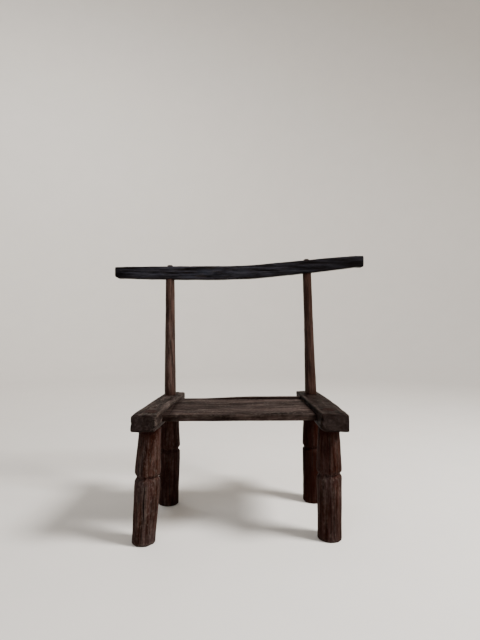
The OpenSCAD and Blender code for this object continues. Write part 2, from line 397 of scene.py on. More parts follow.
def check_cut(checks, section, columns, s):
    """How deep the drying checks cut at each point."""
    cut = np.zeros(np.broadcast(columns, s).shape)
    for check in checks:
        across = np.abs(section.reach(columns, check.at)) / (check.width / 2)
        taper = (check.high - check.low) * 0.22
        inside = smoothstep(check.low, check.low + taper, s) * (
            1 - smoothstep(check.high - taper, check.high, s)
        )
        ragged = 0.75 + 0.25 * wander(s, 9 * MM, check.seed + 5)
        cut = cut + check.depth * inside * ragged * np.clip(1 - across, 0, 1)
    return cut


def check_drift(checks, section, columns, s):
    """How far the grain drifts sideways beside each check."""
    drift = np.zeros(np.broadcast(columns, s).shape)
    for check in checks:
        near = hump(section.reach(columns, check.at), 7 * MM)
        sway = 1.3 * MM * wander(s, 34 * MM, check.seed)
        drift = drift + sway * near * section.step(check.at)
    return drift


def constant(value):
    """A measure that is the same all along a piece."""
    return lambda s: np.zeros_like(s) + value


ZERO = constant(0.0)


def end_cap(edge, centre, outward, count, depth):
    """The rings that close one end, from its edge to its middle, a little sunk and rough."""
    rings = []
    for k in range(1, count + 1):
        share = 1 - k / count
        ring = centre + (edge - centre) * share if share else centre[None, :].copy()
        rough = grain_noise(ring, 7 * MM, 1.0, CAP_SEEDS[0])
        rough = rough + 0.5 * grain_noise(ring, 2.5 * MM, 1.0, CAP_SEEDS[1])
        ring[:, 2] += outward * (rough - 1.6) * depth * min(1.0, 2.0 * (1 - share))
        rings.append(ring)
    return rings


def carve(node, stock, section, rings, half_u, half_v, relief, checks, stain, dust,
          shift_u=ZERO, shift_v=ZERO, shrink=ZERO, cap_relief=0.35 * MM, cap_rings=7):
    """Builds one closed piece of wood and returns its object.

    half_u, half_v, shift_u, shift_v and shrink give the plain section's size and place at s along
    the piece. relief(local, columns, s) is how far the surface stands out from it. The piece also
    gets as attributes for its finish: its wear; its grime with painted shade in hollows and checks;
    its end grain; its stain with painted shade; and its dust with, on the crest rail, a painted sheen.
    """
    s = rings[:, None] + np.zeros((1, len(section.columns)))
    base_columns = section.columns[None, :] + np.zeros((len(rings), 1))
    columns = base_columns + check_drift(checks, section, base_columns, s)
    u, v, nu, nv = section.points(columns, half_u(s), half_v(s), shrink(s))
    u, v = u + shift_u(s), v + shift_v(s)
    local = np.stack([u, v, s], -1)
    raised = relief(local, columns, s)
    cut = check_cut(checks, section, base_columns, s)
    u, v = u + nu * (raised - cut), v + nv * (raised - cut)
    body = np.stack([u, v, s], -1)

    caps = []
    for end, outward in ((0, -1.0), (-1, 1.0)):
        centre = np.array((shift_u(s[end])[0], shift_v(s[end])[0], rings[end]))
        caps += end_cap(body[end], centre, outward, cap_rings, cap_relief)

    points = np.concatenate([body.reshape(-1, 3)] + caps)
    faces = piece_faces(*s.shape, cap_rings)
    right_handed = np.dot(np.cross(stock.across, stock.up), stock.along) > 0
    if not right_handed:
        faces = [face[::-1] for face in faces]
    world = stock.world(points[:, 0], points[:, 1], points[:, 2])

    name = node + "_wood"
    mesh = bpy.data.meshes.new(name)
    mesh.from_pydata(world.tolist(), [], faces)
    mesh.update()

    # Grime with painted shade in hollows and checks; wear on what stands proud
    wear, grime = surface_age(body, nu, nv, cut)
    write_number(mesh, "wear", wear, 0.25, 0.25)
    write_number(mesh, "grime", grime, 0.1, 0.1)
    from_end = np.minimum(s, stock.length - s)
    write_number(mesh, "end_grain", 1 - smoothstep(0.5 * MM, 3.0 * MM, from_end), 1.0, 1.0)
    # Stain with painted shade, and dust with the crest rail's painted sheen
    for label, measure in (("stain", stain), ("dust", dust)):
        amount = np.clip(measure(local, columns, s) + np.zeros_like(s), 0, 1)
        write_number(mesh, label, amount, amount[0].mean(), amount[-1].mean())

    piece = bpy.data.objects.new(name, mesh)
    bpy.context.scene.collection.objects.link(piece)
    return piece


def piece_faces(ring_count, column_count, cap_rings):
    """Faces of the body's rows, then of the start's and the end's caps, all facing outwards."""
    faces = []
    for i in range(ring_count - 1):
        a, b = i * column_count, (i + 1) * column_count
        for j in range(column_count):
            k = (j + 1) % column_count
            faces.append((a + j, a + k, b + k, b + j))
    first_cap = ring_count * column_count
    cap_size = (cap_rings - 1) * column_count + 1
    for cap, edge in ((0, 0), (1, (ring_count - 1) * column_count)):
        outer = edge
        inner = first_cap + cap * cap_size
        for ring in range(cap_rings):
            for j in range(column_count):
                k = (j + 1) % column_count
                if ring < cap_rings - 1:
                    face = (outer + j, inner + j, inner + k, outer + k)
                else:
                    face = (outer + j, inner, outer + k)
                faces.append(face if cap == 0 else face[::-1])
            outer, inner = inner, inner + column_count
    return faces


def surface_age(body, nu, nv, cut):
    """Wear on what stands proud, and grime with painted shade in what lies deep and in checks, both
    from 0 to 1.
    """
    around = (np.roll(body, 1, 1) + np.roll(body, -1, 1)) / 2
    wide = (np.roll(body, 4, 1) + np.roll(body, -4, 1)) / 2
    beyond = np.concatenate([body[:1], body[:-1]]), np.concatenate([body[1:], body[-1:]])
    along = (beyond[0] + beyond[1]) / 2

    def proud(mean):
        gap = body - mean
        return gap[..., 0] * nu + gap[..., 1] * nv

    bulge = proud(around) / (0.10 * MM) + proud(wide) / (1.1 * MM) + proud(along) / (0.15 * MM)
    bulge = (bulge + np.roll(bulge, 1, 1) + np.roll(bulge, -1, 1)) / 3
    wear = smoothstep(0.5, 2.6, bulge)
    # Grime and painted shade: darker in hollows and in checks
    grime = np.maximum(smoothstep(0.2, 2.2, -bulge), smoothstep(0.1 * MM, 1.0 * MM, cut))
    return wear, grime


def write_number(mesh, name, body, start_cap, end_cap_value):
    """Keeps one number for each corner point of a mesh: the body's points, then those of each cap."""
    in_cap = (len(mesh.vertices) - body.size) // 2
    caps = np.repeat((start_cap, end_cap_value), in_cap)
    layer = mesh.attributes.new(name, "FLOAT", "POINT")
    layer.data.foreach_set("value", np.concatenate([body.reshape(-1), caps]).astype(np.float32))


def side_share(columns, side):
    """1 on one side of a boxed section and 0 beyond its corners. Sides count from 0 on the right."""
    gap = np.abs((columns - (2 * side + 0.5) + 4) % 8 - 4)
    return 1 - smoothstep(0.5, 1.4, gap)


# ---------------------------------------------------------------- hewn surfaces
def scoops(local, across, along, seed):
    """Shallow overlapping tool marks, 0 in the middle of each mark and 1 on the ridges between."""
    points = local / np.array((across, across, along))
    cell = np.floor(points).astype(np.int64)
    nearest = np.full(points.shape[:-1], 9.0)
    for i in (-1, 0, 1):
        for j in (-1, 0, 1):
            for k in (-1, 0, 1):
                spot = cell + np.array((i, j, k))
                x, y, z = spot[..., 0], spot[..., 1], spot[..., 2]
                jitter = [0.5 + 0.42 * lattice(x, y, z, seed + n) for n in (0, 1, 2)]
                gap = points - spot - np.stack(jitter, -1)
                nearest = np.minimum(nearest, (gap * gap).sum(-1))
    return np.clip(nearest * 1.6, 0.0, 1.0)


def tool_marks(local, across, along, depth, seed):
    """How deep overlapping tool marks lie under the surface."""
    return (1 - scoops(local, across, along, seed)) * depth


def arris_nicks(local, columns, along, least, depth, seed):
    """Small nicks along the four arrises of a boxed section, where the noise passes its least value."""
    nicks = np.clip(grain_noise(local, 5 * MM, along, seed + 6) - least, 0, 1)
    on_arris = (np.floor(np.mod(columns, 8)) % 2 == 1) * 1.0
    return depth * nicks * on_arris


def facets(angle, s, radius, count, seed):
    """How far the flats of a hewn round piece lie below its full round."""
    rng = np.random.default_rng(seed)
    widths = rng.uniform(0.7, 1.3, count)
    edges = np.concatenate([[0.0], np.cumsum(widths)]) * 2 * math.pi / widths.sum()
    turn = np.mod(angle + 0.22 * wander(s, 90 * MM, seed + 1) + seed, 2 * math.pi)
    index = np.clip(np.searchsorted(edges, turn, side="right") - 1, 0, count - 1)
    centre = (edges[index] + edges[index + 1]) / 2
    half = (edges[index + 1] - edges[index]) / 2
    flat = radius * (1 - np.cos(half) / np.cos(turn - centre))
    strength = 0.55 + 0.45 * smooth_noise(
        np.stack([index * 1.7, s / (55 * MM), np.zeros_like(s)], -1), seed + 2
    )
    return flat * strength


def chip(local, place, radius, depth):
    """A small broken-out hollow round a local point."""
    gap = np.sqrt((((local - np.array(place)) / np.array(radius)) ** 2).sum(-1))
    rough = 1 + 0.35 * grain_noise(local, 2.5 * MM, 6 * MM, CHIP_SEED)
    return depth * np.clip(1.15 - gap * rough, 0, 1) ** 0.7


def fibre(local, seed):
    """Fine raised grain, coarse and fine together."""
    coarse = grain_noise(local, 2.6 * MM, 55 * MM, seed)
    fine = grain_noise(local, 1.2 * MM, 26 * MM, seed + 1)
    return coarse * 0.6 + fine * 0.4


# ---------------------------------------------------------------- legs
class LegShape:
    """The axis, radii and groove of a leg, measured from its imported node."""

    def __init__(self, node):
        points = node_points(node)
        self.head_z = RAIL_UNDERSIDE[rail_of(node)]
        self.foot = middle(band(points, 2, -1 * MM, 0.3 * MM))
        self.head = middle(band(points, 2, self.head_z - 0.3 * MM, self.head_z + 0.3 * MM))
        self.foot[2], self.head[2] = 0.0, self.head_z
        self.top_z = points[:, 2].max()
        reach = self.reach(points)
        outer = (reach > 0.75 * reach.max()) & (points[:, 2] <= self.head_z + 0.3 * MM)
        z, reach_out = points[outer, 2], reach[outer]
        mid = (z > 0.3 * self.head_z) & (z < 0.8 * self.head_z)
        self.groove_z = z[mid][np.argmin(reach_out[mid])]
        plain = np.abs(z - self.groove_z) > 8 * MM
        levels = np.linspace(0, self.head_z, 25)
        near = [plain & (np.abs(z - level) < 7 * MM) for level in levels]
        self.levels = np.array([level for level, found in zip(levels, near) if found.any()])
        self.radii = np.array([reach_out[found].max() for found in near if found.any()])
        self.tenon = reach[points[:, 2] > self.head_z + 1 * MM].max() if self.has_tenon else 0.0

    @property
    def has_tenon(self):
        """Whether the leg's head goes through the side rail."""
        return self.top_z > self.head_z + 5 * MM

    def reach(self, points):
        """Distance of points from the leg's axis."""
        share = points[:, 2] / self.head_z
        axis = self.foot[None, :2] + (self.head - self.foot)[None, :2] * share[:, None]
        return np.linalg.norm(points[:, :2] - axis, axis=1)

    def axis_at(self, z):
        """The leg's middle at a height."""
        return self.foot + (self.head - self.foot) * (z / self.head_z)


# Each leg's drying checks: angle round it in degrees, lowest and highest share of its height, and
# width and depth in millimetres
LEG_CHECKS = {
    "front_left_leg": (
        (-93, 0.17, 0.54, 2.6, 6.5),
        (-58, 0.05, 0.42, 1.0, 2.8),
        (-112, 0.62, 0.97, 1.1, 3.0),
        (-128, 0.02, 0.50, 0.9, 2.4),
        (-72, 0.64, 0.90, 0.8, 2.0),
        (40, 0.05, 0.7, 1.2, 4.0),
        (130, 0.3, 0.9, 1.0, 3.0),
    ),
    "front_right_leg": (
        (-78, 0.03, 0.52, 1.3, 4.0),
        (-118, 0.10, 0.54, 1.1, 3.2),
        (-45, 0.03, 0.50, 0.9, 2.4),
        (-98, 0.62, 0.98, 1.2, 3.4),
        (-60, 0.66, 0.97, 0.8, 2.2),
        (60, 0.2, 0.8, 1.2, 4.0),
        (150, 0.05, 0.55, 1.0, 3.0),
    ),
    "rear_left_leg": (
        (-80, 0.05, 0.6, 1.1, 3.4),
        (-30, 0.4, 0.95, 0.8, 2.2),
        (95, 0.1, 0.8, 1.4, 4.5),
        (160, 0.3, 0.9, 0.9, 2.6),
    ),
    "rear_right_leg": (
        (-100, 0.3, 0.9, 1.0, 3.0),
        (-150, 0.05, 0.5, 0.9, 2.6),
        (80, 0.2, 0.95, 1.4, 4.5),
        (20, 0.1, 0.5, 0.8, 2.2),
    ),
}
# Painted shade: how much darker each leg is painted, below its groove and above it; most on the
# rear legs, which stand in shade under the seat
LEG_SHADE = {
    "front_left_leg": (0.0, 0.0),
    "front_right_leg": (0.14, 0.42),
    "rear_left_leg": (0.45, 0.45),
    "rear_right_leg": (0.90, 0.90),
}
# How much slimmer the foot of each leg is on its right side, in millimetres
LEG_TAPER = {"front_left_leg": 4.6, "front_right_leg": 0.8, "rear_left_leg": 1.2, "rear_right_leg": 0.6}


def groove_cut(angle, s, at, width, depth, seed):
    """The V groove cut round a leg, a little uneven in height, width and depth."""
    place = at + 0.9 * MM * np.sin(angle + seed) + 0.5 * MM * np.sin(3 * angle + 2 * seed)
    broad = width * (1 + 0.12 * np.sin(2 * angle + seed * 0.7))
    deep = depth * (1 + 0.10 * np.sin(4 * angle + seed * 1.3))
    flank = np.abs(s - place) / broad
    return deep * np.clip(1 - flank, 0, 1) ** 1.15


def leg_piece(node, settings, seed):
    """One hewn leg, nearly round, from its worn foot to its head or through tenon."""
    shape = LegShape(node)
    top = shape.axis_at(shape.top_z)
    stock = Stock(shape.foot, top, (1, 0, 0), (0, 1, 0))
    stretch = stock.length / shape.top_z
    checks = check_list(LEG_CHECKS[node], shape.head_z, settings, seed, is_round=True)
    section = RoundSection(shape.radii.max(), 1.5 * MM, checks)
    head = shape.head_z * stretch
    groove = shape.groove_z * stretch
    by_groove = (groove - 14 * MM, groove + 14 * MM, 0.7 * MM)
    rings = ring_places(stock.length, 1.8 * MM, 1.2 * MM, fine=(by_groove,))
    if shape.has_tenon:
        rings = with_step(rings, head, (-0.8, -0.3, -0.05, 0.05, 0.8))
    reach = np.linspace(-9, 9, 7) * MM
    soft = np.array([np.mean(np.interp(z + reach, shape.levels, shape.radii)) for z in shape.levels])
    shade_low, shade_high = LEG_SHADE[node]

    def radius(s):
        body = np.interp(s / stretch, shape.levels, np.minimum(soft, shape.radii))
        return np.where(s < head, body, shape.tenon)

    def shrink(s):
        at_foot = end_shrink(np.minimum(s, stock.length / 2), stock.length, 2.2 * MM)
        at_head = np.where(s < head, 1.0 * MM * smoothstep(head - 2 * MM, head, s), 0.0)
        at_top = 0.5 * MM * smoothstep(stock.length - 1 * MM, stock.length, s)
        return at_foot + at_head + at_top

    def relief(local, columns, s):
        on_body = s < head
        flats = facets(columns, s, radius(s), 11, seed) * settings.facet_depth
        marks = tool_marks(local, 17 * MM, 42 * MM, 0.55 * MM * settings.facet_depth, seed)
        swell = 0.5 * MM * grain_noise(local, 30 * MM, 60 * MM, seed + 3)
        cut = groove_cut(columns, s, groove, 8.5 * MM, settings.groove_depth, seed)
        slimmed = LEG_TAPER[node] * MM * np.clip(np.cos(columns), 0, 1)
        slimmed = slimmed * (1 - smoothstep(0, groove, s))
        broken = np.clip(grain_noise(local, 9 * MM, 14 * MM, seed + 9) - 0.15, 0, 1)
        foot_wear = 2.2 * MM * broken * (1 - smoothstep(0, 9 * MM, s))
        ragged = 0.22 * MM * fibre(local, seed + 4)
        body = swell + 0.75 * MM - flats - marks - cut - foot_wear - slimmed + ragged
        return np.where(on_body, body, 0.08 * MM * fibre(local, seed + 4) - 0.12 * MM)

    def stain(local, columns, s):
        above_groove = smoothstep(groove - 10 * MM, groove + 10 * MM, s)
        # Painted shade under the rail and on the leg's left side
        under_rail = 0.75 * smoothstep(head - 26 * MM, head, s)
        left_side = (0.10 + 0.20 * above_groove) * np.clip(-np.cos(columns), 0, 1)
        blotch = 0.35 * patches(local, 22 * MM, 70 * MM, seed + 12)
        # Painted shade over the whole leg, most on the rear legs; the blotches are real stain
        painted_leg_shade = shade_low + (shade_high - shade_low) * above_groove
        return painted_leg_shade + under_rail + left_side + blotch

    def dust(local, columns, s):
        rim = 0.85 * (1 - smoothstep(0, 9 * MM, s))
        shoulder = 0.25 * hump(s - groove + 11 * MM, 6 * MM)
        rubbed = 0.5 * patches(local, 14 * MM, 60 * MM, seed + 13, 0.1, 0.7)
        tenon_end = np.where(s > head, 0.9, 0.0)
        return (rim + shoulder + rubbed) * (1 - shade_low) + tenon_end

    piece = carve(node, stock, section, rings, radius, radius, relief, checks, stain, dust,
                  shrink=shrink, cap_rings=10)
    return piece, stock, shape


# ---------------------------------------------------------------- side rails
def plan_hull(points):
    """The convex outline of some points seen from above."""
    ordered = sorted(set(map(tuple, np.round(points, 6))))

    def chain(run):
        out = []
        for p in run:
            while len(out) > 1:
                a, b = out[-2], out[-1]
                if (b[0] - a[0]) * (p[1] - a[1]) - (b[1] - a[1]) * (p[0] - a[0]) > 0:
                    break
                out.pop()
            out.append(p)
        return out[:-1]

    return np.array(chain(ordered) + chain(ordered[::-1]))


class RailShape:
    """A side rail's direction, length and plan widths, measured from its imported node."""

    def __init__(self, node):
        points = node_points(node)
        hull = plan_hull(points[:, :2])
        edges = np.roll(hull, -1, 0) - hull
        along = edges[np.argmax(np.linalg.norm(edges, axis=1))]
        along = along / np.linalg.norm(along) * (1 if along[1] > 0 else -1)
        self.along = np.array((along[0], along[1], 0.0))
        self.across = np.array((along[1], -along[0], 0.0))
        s, u = points @ self.along, points @ self.across
        self.s0, self.length = s.min(), s.max() - s.min()
        self.low_z, self.high_z = points[:, 2].min(), points[:, 2].max()
        outward = -1 if "left" in node else 1
        inner = (u * outward).min() * outward
        self.inner, self.outward = inner, outward
        self.front, self.rear, self.waist = (
            (u[np.abs(s - at) < reach] * outward).max() * outward
            for at, reach in (
                (s.min() + 6 * MM, 3 * MM),
                (s.max() - 6 * MM, 3 * MM),
                ((s.min() + s.max()) / 2, 12 * MM),
            )
        )

    def outer(self, s):
        """Place of the bellied outer face."""
        t = np.clip(s / self.length, 0, 1)
        straight = self.front * (1 - t) + self.rear * t
        belly = self.waist - (self.front + self.rear) / 2
        return straight + belly * 4 * t * (1 - t)

    def half(self, s):
        """Half the rail's width."""
        return np.abs(self.outer(s) - self.inner) / 2

    def shift(self, s):
        """How far the rail's middle lies from its inner face."""
        return (self.outer(s) + self.inner) / 2 - self.inner

    def stock(self):
        """The length of wood that the rail is hewn from."""
        start = self.across * self.inner + self.along * self.s0
        start[2] = (self.low_z + self.high_z) / 2
        return Stock(start, start + self.along * self.length, self.across, (0, 0, 1))


# Radii of each side rail's long corners in millimetres, from the upper right one to the left and round
RAIL_RADII = {"left_side_rail": (4.0, 6.0, 3.0, 5.0), "right_side_rail": (6.5, 4.0, 11.0, 3.0)}
# Each side rail's drying checks: place round it, first and last share of its length, and width and
# depth in millimetres. The place counts as in BoxSection: right side 0 to 1, top 2 to 3, left side
# 4 to 5 and underside 6 to 7.
RAIL_CHECKS = {
    "left_side_rail": (
        (2.35, 0.55, 0.90, 1.0, 2.4),
        (2.7, 0.04, 0.33, 0.8, 1.8),
        (4.5, 0.25, 0.85, 1.3, 4.0),
        (6.5, 0.2, 0.8, 1.2, 3.0),
    ),
    "right_side_rail": (
        (2.55, 0.25, 0.60, 1.0, 2.4),
        (2.25, 0.70, 0.97, 0.8, 1.8),
        (0.45, 0.15, 0.75, 1.3, 4.0),
        (6.4, 0.3, 0.9, 1.2, 3.0),
    ),
}
# How much painted shade darkens each side rail, how much more painted shade darkens its inner face,
# and how far in millimetres the lower part of its front end flares inwards
RAIL_SHADE = {"left_side_rail": 0.05, "right_side_rail": 0.58}
RAIL_INNER_SHADE = {"left_side_rail": 0.0, "right_side_rail": 0.75}
RAIL_FLARE = {"left_side_rail": 0.0, "right_side_rail": 3.6}


def rail_chips(node, local, half_v):
    """The small breaks at the front end of each side rail and the nick in the right one's top."""
    if node == "left_side_rail":
        corner = chip(local, (0.0, half_v, 0.0), (5 * MM, 5 * MM, 7 * MM), 2.6 * MM)
        return corner + chip(local, (-26 * MM, half_v, 95 * MM), (7 * MM, 4 * MM, 12 * MM), 1.3 * MM)
    nick = chip(local, (9 * MM, half_v, 52 * MM), (4 * MM, 4 * MM, 6 * MM), 2.2 * MM)
    lower = chip(local, (2 * MM, -half_v * 0.6, 0.0), (6 * MM, 9 * MM, 9 * MM), 2.0 * MM)
    return nick + lower


def rail_piece(node, settings, seed):
    """One side rail hewn from a plank's edge, with soft worn arrises and shallow adze marks."""
    shape = RailShape(node)
    stock = shape.stock()
    half_v = (shape.high_z - shape.low_z) / 2
    checks = check_list(RAIL_CHECKS[node], stock.length, settings, seed)
    radii = [r * MM for r in RAIL_RADII[node]]
    section = BoxSection(28 * MM, half_v, radii, 1.7 * MM, checks)
    rings = ring_places(stock.length, 1.9 * MM, 2.4 * MM)
    inner_side = 0 if shape.outward < 0 else 2

    def relief(local, columns, s):
        marks = tool_marks(local, 22 * MM, 34 * MM, 1.1 * MM * settings.scoop_depth, seed)
        swell = 0.9 * MM * grain_noise(local, 34 * MM, 70 * MM, seed + 3) - 0.4 * MM
        ragged = 0.18 * MM * fibre(local, seed + 4)
        from_end = np.minimum(s, stock.length - s)
        broken = np.clip(grain_noise(local, 7 * MM, 9 * MM, seed + 8) + 0.15, 0, 1)
        swell = swell - 1.8 * MM * broken * (1 - smoothstep(0, 8 * MM, from_end))
        worn = arris_nicks(local, columns, 11 * MM, 0.42, 1.6 * MM * settings.arris_wear, seed)
        bias = 0.95 * MM - 0.45 * MM * side_share(columns, 1)
        flare = RAIL_FLARE[node] * MM * side_share(columns, inner_side)
        flare = flare * (1 - smoothstep(-0.5 * half_v, 0.7 * half_v, local[..., 1]))
        flare = flare * (1 - smoothstep(0, 80 * MM, s))
        return swell + bias + flare - marks + ragged - worn - rail_chips(node, local, half_v)

    def stain(local, columns, s):
        # Painted shade on the underside, the outer face, the inner face and over the whole rail; darker
        # round the post's foot; the blotches are real stain
        below = 0.8 * side_share(columns, 3) + 0.35 * side_share(columns, 2 - inner_side)
        inside = RAIL_INNER_SHADE[node] * side_share(columns, inner_side)
        round_post = 0.5 * hump(s - stock.length + 62 * MM, 20 * MM) * side_share(columns, 1)
        blotch = 0.45 * patches(local, 15 * MM, 30 * MM, seed + 12, 0.05)
        return below + inside + round_post + blotch + RAIL_SHADE[node]

    def dust(local, columns, s):
        rubbed = patches(local, 9 * MM, 24 * MM, seed + 13, 0.0, 0.55)
        rubbed = rubbed * patches(local, 30 * MM, 60 * MM, seed + 14, -0.3, 0.4)
        return rubbed * side_share(columns, 1) * (0.85 - RAIL_SHADE[node])

    piece = carve(node, stock, section, rings, shape.half, constant(half_v), relief, checks, stain,
                  dust, shift_u=shape.shift, shrink=lambda s: end_shrink(s, stock.length, 2.4 * MM),
                  cap_relief=0.6 * MM, cap_rings=18)
    return piece, stock


# ---------------------------------------------------------------- seat plank
# The plank's drying checks, in the same terms as the side rails'
PLANK_CHECKS = (
    (2.30, 0.05, 0.55, 0.9, 2.2),
    (2.62, 0.45, 0.97, 0.8, 1.8),
    (6.45, 0.2, 0.8, 1.2, 3.0),
)


def plank_piece(node, settings, seed):
    """The seat plank, with a raised strip along its rear edge that grows towards the right."""
    low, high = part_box(node)
    points = node_points(node)
    front, rear = points[:, 1].min(), points[:, 1].max()
    top = RAIL_TOP - PLANK_DROP
    lip = high.z - top
    lip_depth = 16 * MM
    half_u, half_v = (rear - front) / 2, (top - low.z) / 2
    centre = ((front + rear) / 2, (top + low.z) / 2)
    stock = Stock((low.x, *centre), (high.x, *centre), (0, 1, 0), (0, 0, 1))
    checks = check_list(PLANK_CHECKS, stock.length, settings, seed)
    radii = (2.5 * MM, 4.0 * MM, 3.0 * MM, 2.5 * MM)
    # Close columns up the front of the raised strip
    top_width = 2 * half_u - 5 * MM
    strip_front = np.arange(-2.0, 5.5, 0.8) * MM
    extra = 2 + (2.5 * MM + lip_depth - 2 * MM - strip_front) / top_width
    section = BoxSection(half_u, half_v, radii, 1.9 * MM, checks, extra)
    rings = ring_places(stock.length, 1.9 * MM, 1.2 * MM)
    lip_from = stock.length * 0.27
    # Where the left tongue ends and the right one starts, measured from the plank's left end
    housed_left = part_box("left_side_rail")[1].x - 9 * MM - low.x
    housed_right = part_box("right_side_rail")[0].x + 2 * MM - low.x

    def relief(local, columns, s):
        on_top = (columns > 1.5) & (columns < 3.5)
        on_bottom = (columns > 5.5) & (columns < 7.5)
        u = local[..., 0]
        edge = half_u - lip_depth + 1.6 * MM * wander(s, 40 * MM, seed + 8)
        rise = lip * smoothstep(lip_from - 30 * MM, stock.length * 0.62, s)
        housed = smoothstep(housed_right, housed_right + 0.5 * MM, s)
        strip = rise * smoothstep(edge - 1.2 * MM, edge + 1.6 * MM, u) * (1 - housed)
        ragged = 0.13 * MM * fibre(local, seed + 4)
        marks = tool_marks(local, 30 * MM, 60 * MM, 0.45 * MM * settings.scoop_depth, seed)
        dip = 1.3 * MM * hump(u, 85 * MM) * hump(s - stock.length / 2, 110 * MM)
        front_worn = 1.8 * MM * smoothstep(-half_u + 16 * MM, -half_u, u)
        middle_worn = hump(s - stock.length * 0.62, 60 * MM)
        wavy = settings.plank_wave * (0.5 + 0.5 * wander(s, 48 * MM, seed + 5))
        tongue_step = 0.9 * MM * (1 - smoothstep(housed_left - 1 * MM, housed_left, s) + housed)
        up = strip - dip - front_worn * (0.35 + 0.65 * middle_worn) - tongue_step
        down = -wavy * smoothstep(-half_u + 60 * MM, -half_u, u) - 0.3 * MM
        worn = arris_nicks(local, columns, 13 * MM, 0.4, 1.4 * MM * settings.arris_wear, seed)
        return np.where(on_top, up, np.where(on_bottom, down, -0.25 * MM)) - marks + ragged - worn

    def stain(local, columns, s):
        # Painted shade on the front edge, the underside, beside both rails and on the raised strip's
        # front face; the blotches are real stain
        front = 0.42 * side_share(columns, 2)
        below = 0.9 * side_share(columns, 3)
        by_left = 1 - smoothstep(0, 14 * MM, s - housed_left)
        by_right = smoothstep(-16 * MM, 0, s - housed_right)
        blotch = 0.5 * patches(local, 16 * MM, 60 * MM, seed + 12)
        lip_face = 0.8 * hump(local[..., 0] - half_u + lip_depth + 1 * MM, 4 * MM)
        lip_face = lip_face * smoothstep(lip_from - 30 * MM, lip_from + 60 * MM, s)
        return front + below + 0.45 * (by_left + by_right) + blotch + lip_face

    def dust(local, columns, s):
        rubbed = patches(local, 9 * MM, 34 * MM, seed + 13, 0.1)
        lip_edge = half_u - lip_depth
        lip_top = 0.4 * smoothstep(lip_edge + 3 * MM, lip_edge + 5 * MM, local[..., 0])
        return (0.8 * rubbed + lip_top) * side_share(columns, 1)

    piece = carve(node, stock, section, rings, constant(half_u), constant(half_v), relief, checks,
                  stain, dust, cap_rings=4)
    return piece, stock


# ---------------------------------------------------------------- back posts
class PostShape:
    """A back post's axis, shoulders and radii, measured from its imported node."""

    def __init__(self, node):
        points = node_points(node)
        self.low_z, self.high_z = points[:, 2].min(), points[:, 2].max()
        self.base = middle(band(points, 2, RAIL_TOP - 0.3 * MM, RAIL_TOP + 0.3 * MM))
        self.base[2] = RAIL_TOP
        self.tip = middle(band(points, 2, self.high_z - 2.1 * MM, self.high_z))
        self.tip[2] = self.high_z
        slope = (self.tip - self.base) / (self.high_z - RAIL_TOP)
        axis = self.base[None, :] + (points[:, 2] - RAIL_TOP)[:, None] * slope[None, :]
        reach = np.linalg.norm((points - axis)[:, :2], axis=1)
        self.slope = slope
        self.base_radius = reach[np.abs(points[:, 2] - RAIL_TOP) < 0.3 * MM].max()
        self.tenon = reach[points[:, 2] < RAIL_TOP - 5 * MM].max()
        self.crest_tenon = reach[points[:, 2] > self.high_z - 6 * MM].max()
        body = reach > self.crest_tenon + 1.5 * MM
        self.shoulder_z = points[body, 2].max() - 1.4 * MM
        near_top = body & (points[:, 2] > self.shoulder_z - 12 * MM)
        self.top_radius = reach[near_top].max()

    def at(self, z):
        """The post's middle at a height."""
        return self.base + self.slope * (z - RAIL_TOP)


# Each post's drying checks, in the same terms as the legs'
POST_CHECKS = {
    "left_back_post": (
        (-80, 0.45, 0.80, 0.7, 2.0),
        (-125, 0.26, 0.50, 0.7, 2.0),
        (70, 0.3, 0.8, 0.9, 2.6),
    ),
    "right_back_post": (
        (-95, 0.55, 0.88, 0.7, 2.0),
        (-60, 0.25, 0.45, 0.7, 1.8),
        (110, 0.35, 0.85, 0.9, 2.6),
    ),
}
# How much painted shade darkens each post all over
POST_SHADE = {"left_back_post": 0.0, "right_back_post": 0.6}
# How hollow each post runs between its ends and how much fuller its lower part is, in millimetres
POST_HOLLOW = {"left_back_post": 0.0, "right_back_post": 0.9}
POST_SWELL = {"left_back_post": 0.5, "right_back_post": 1.3}


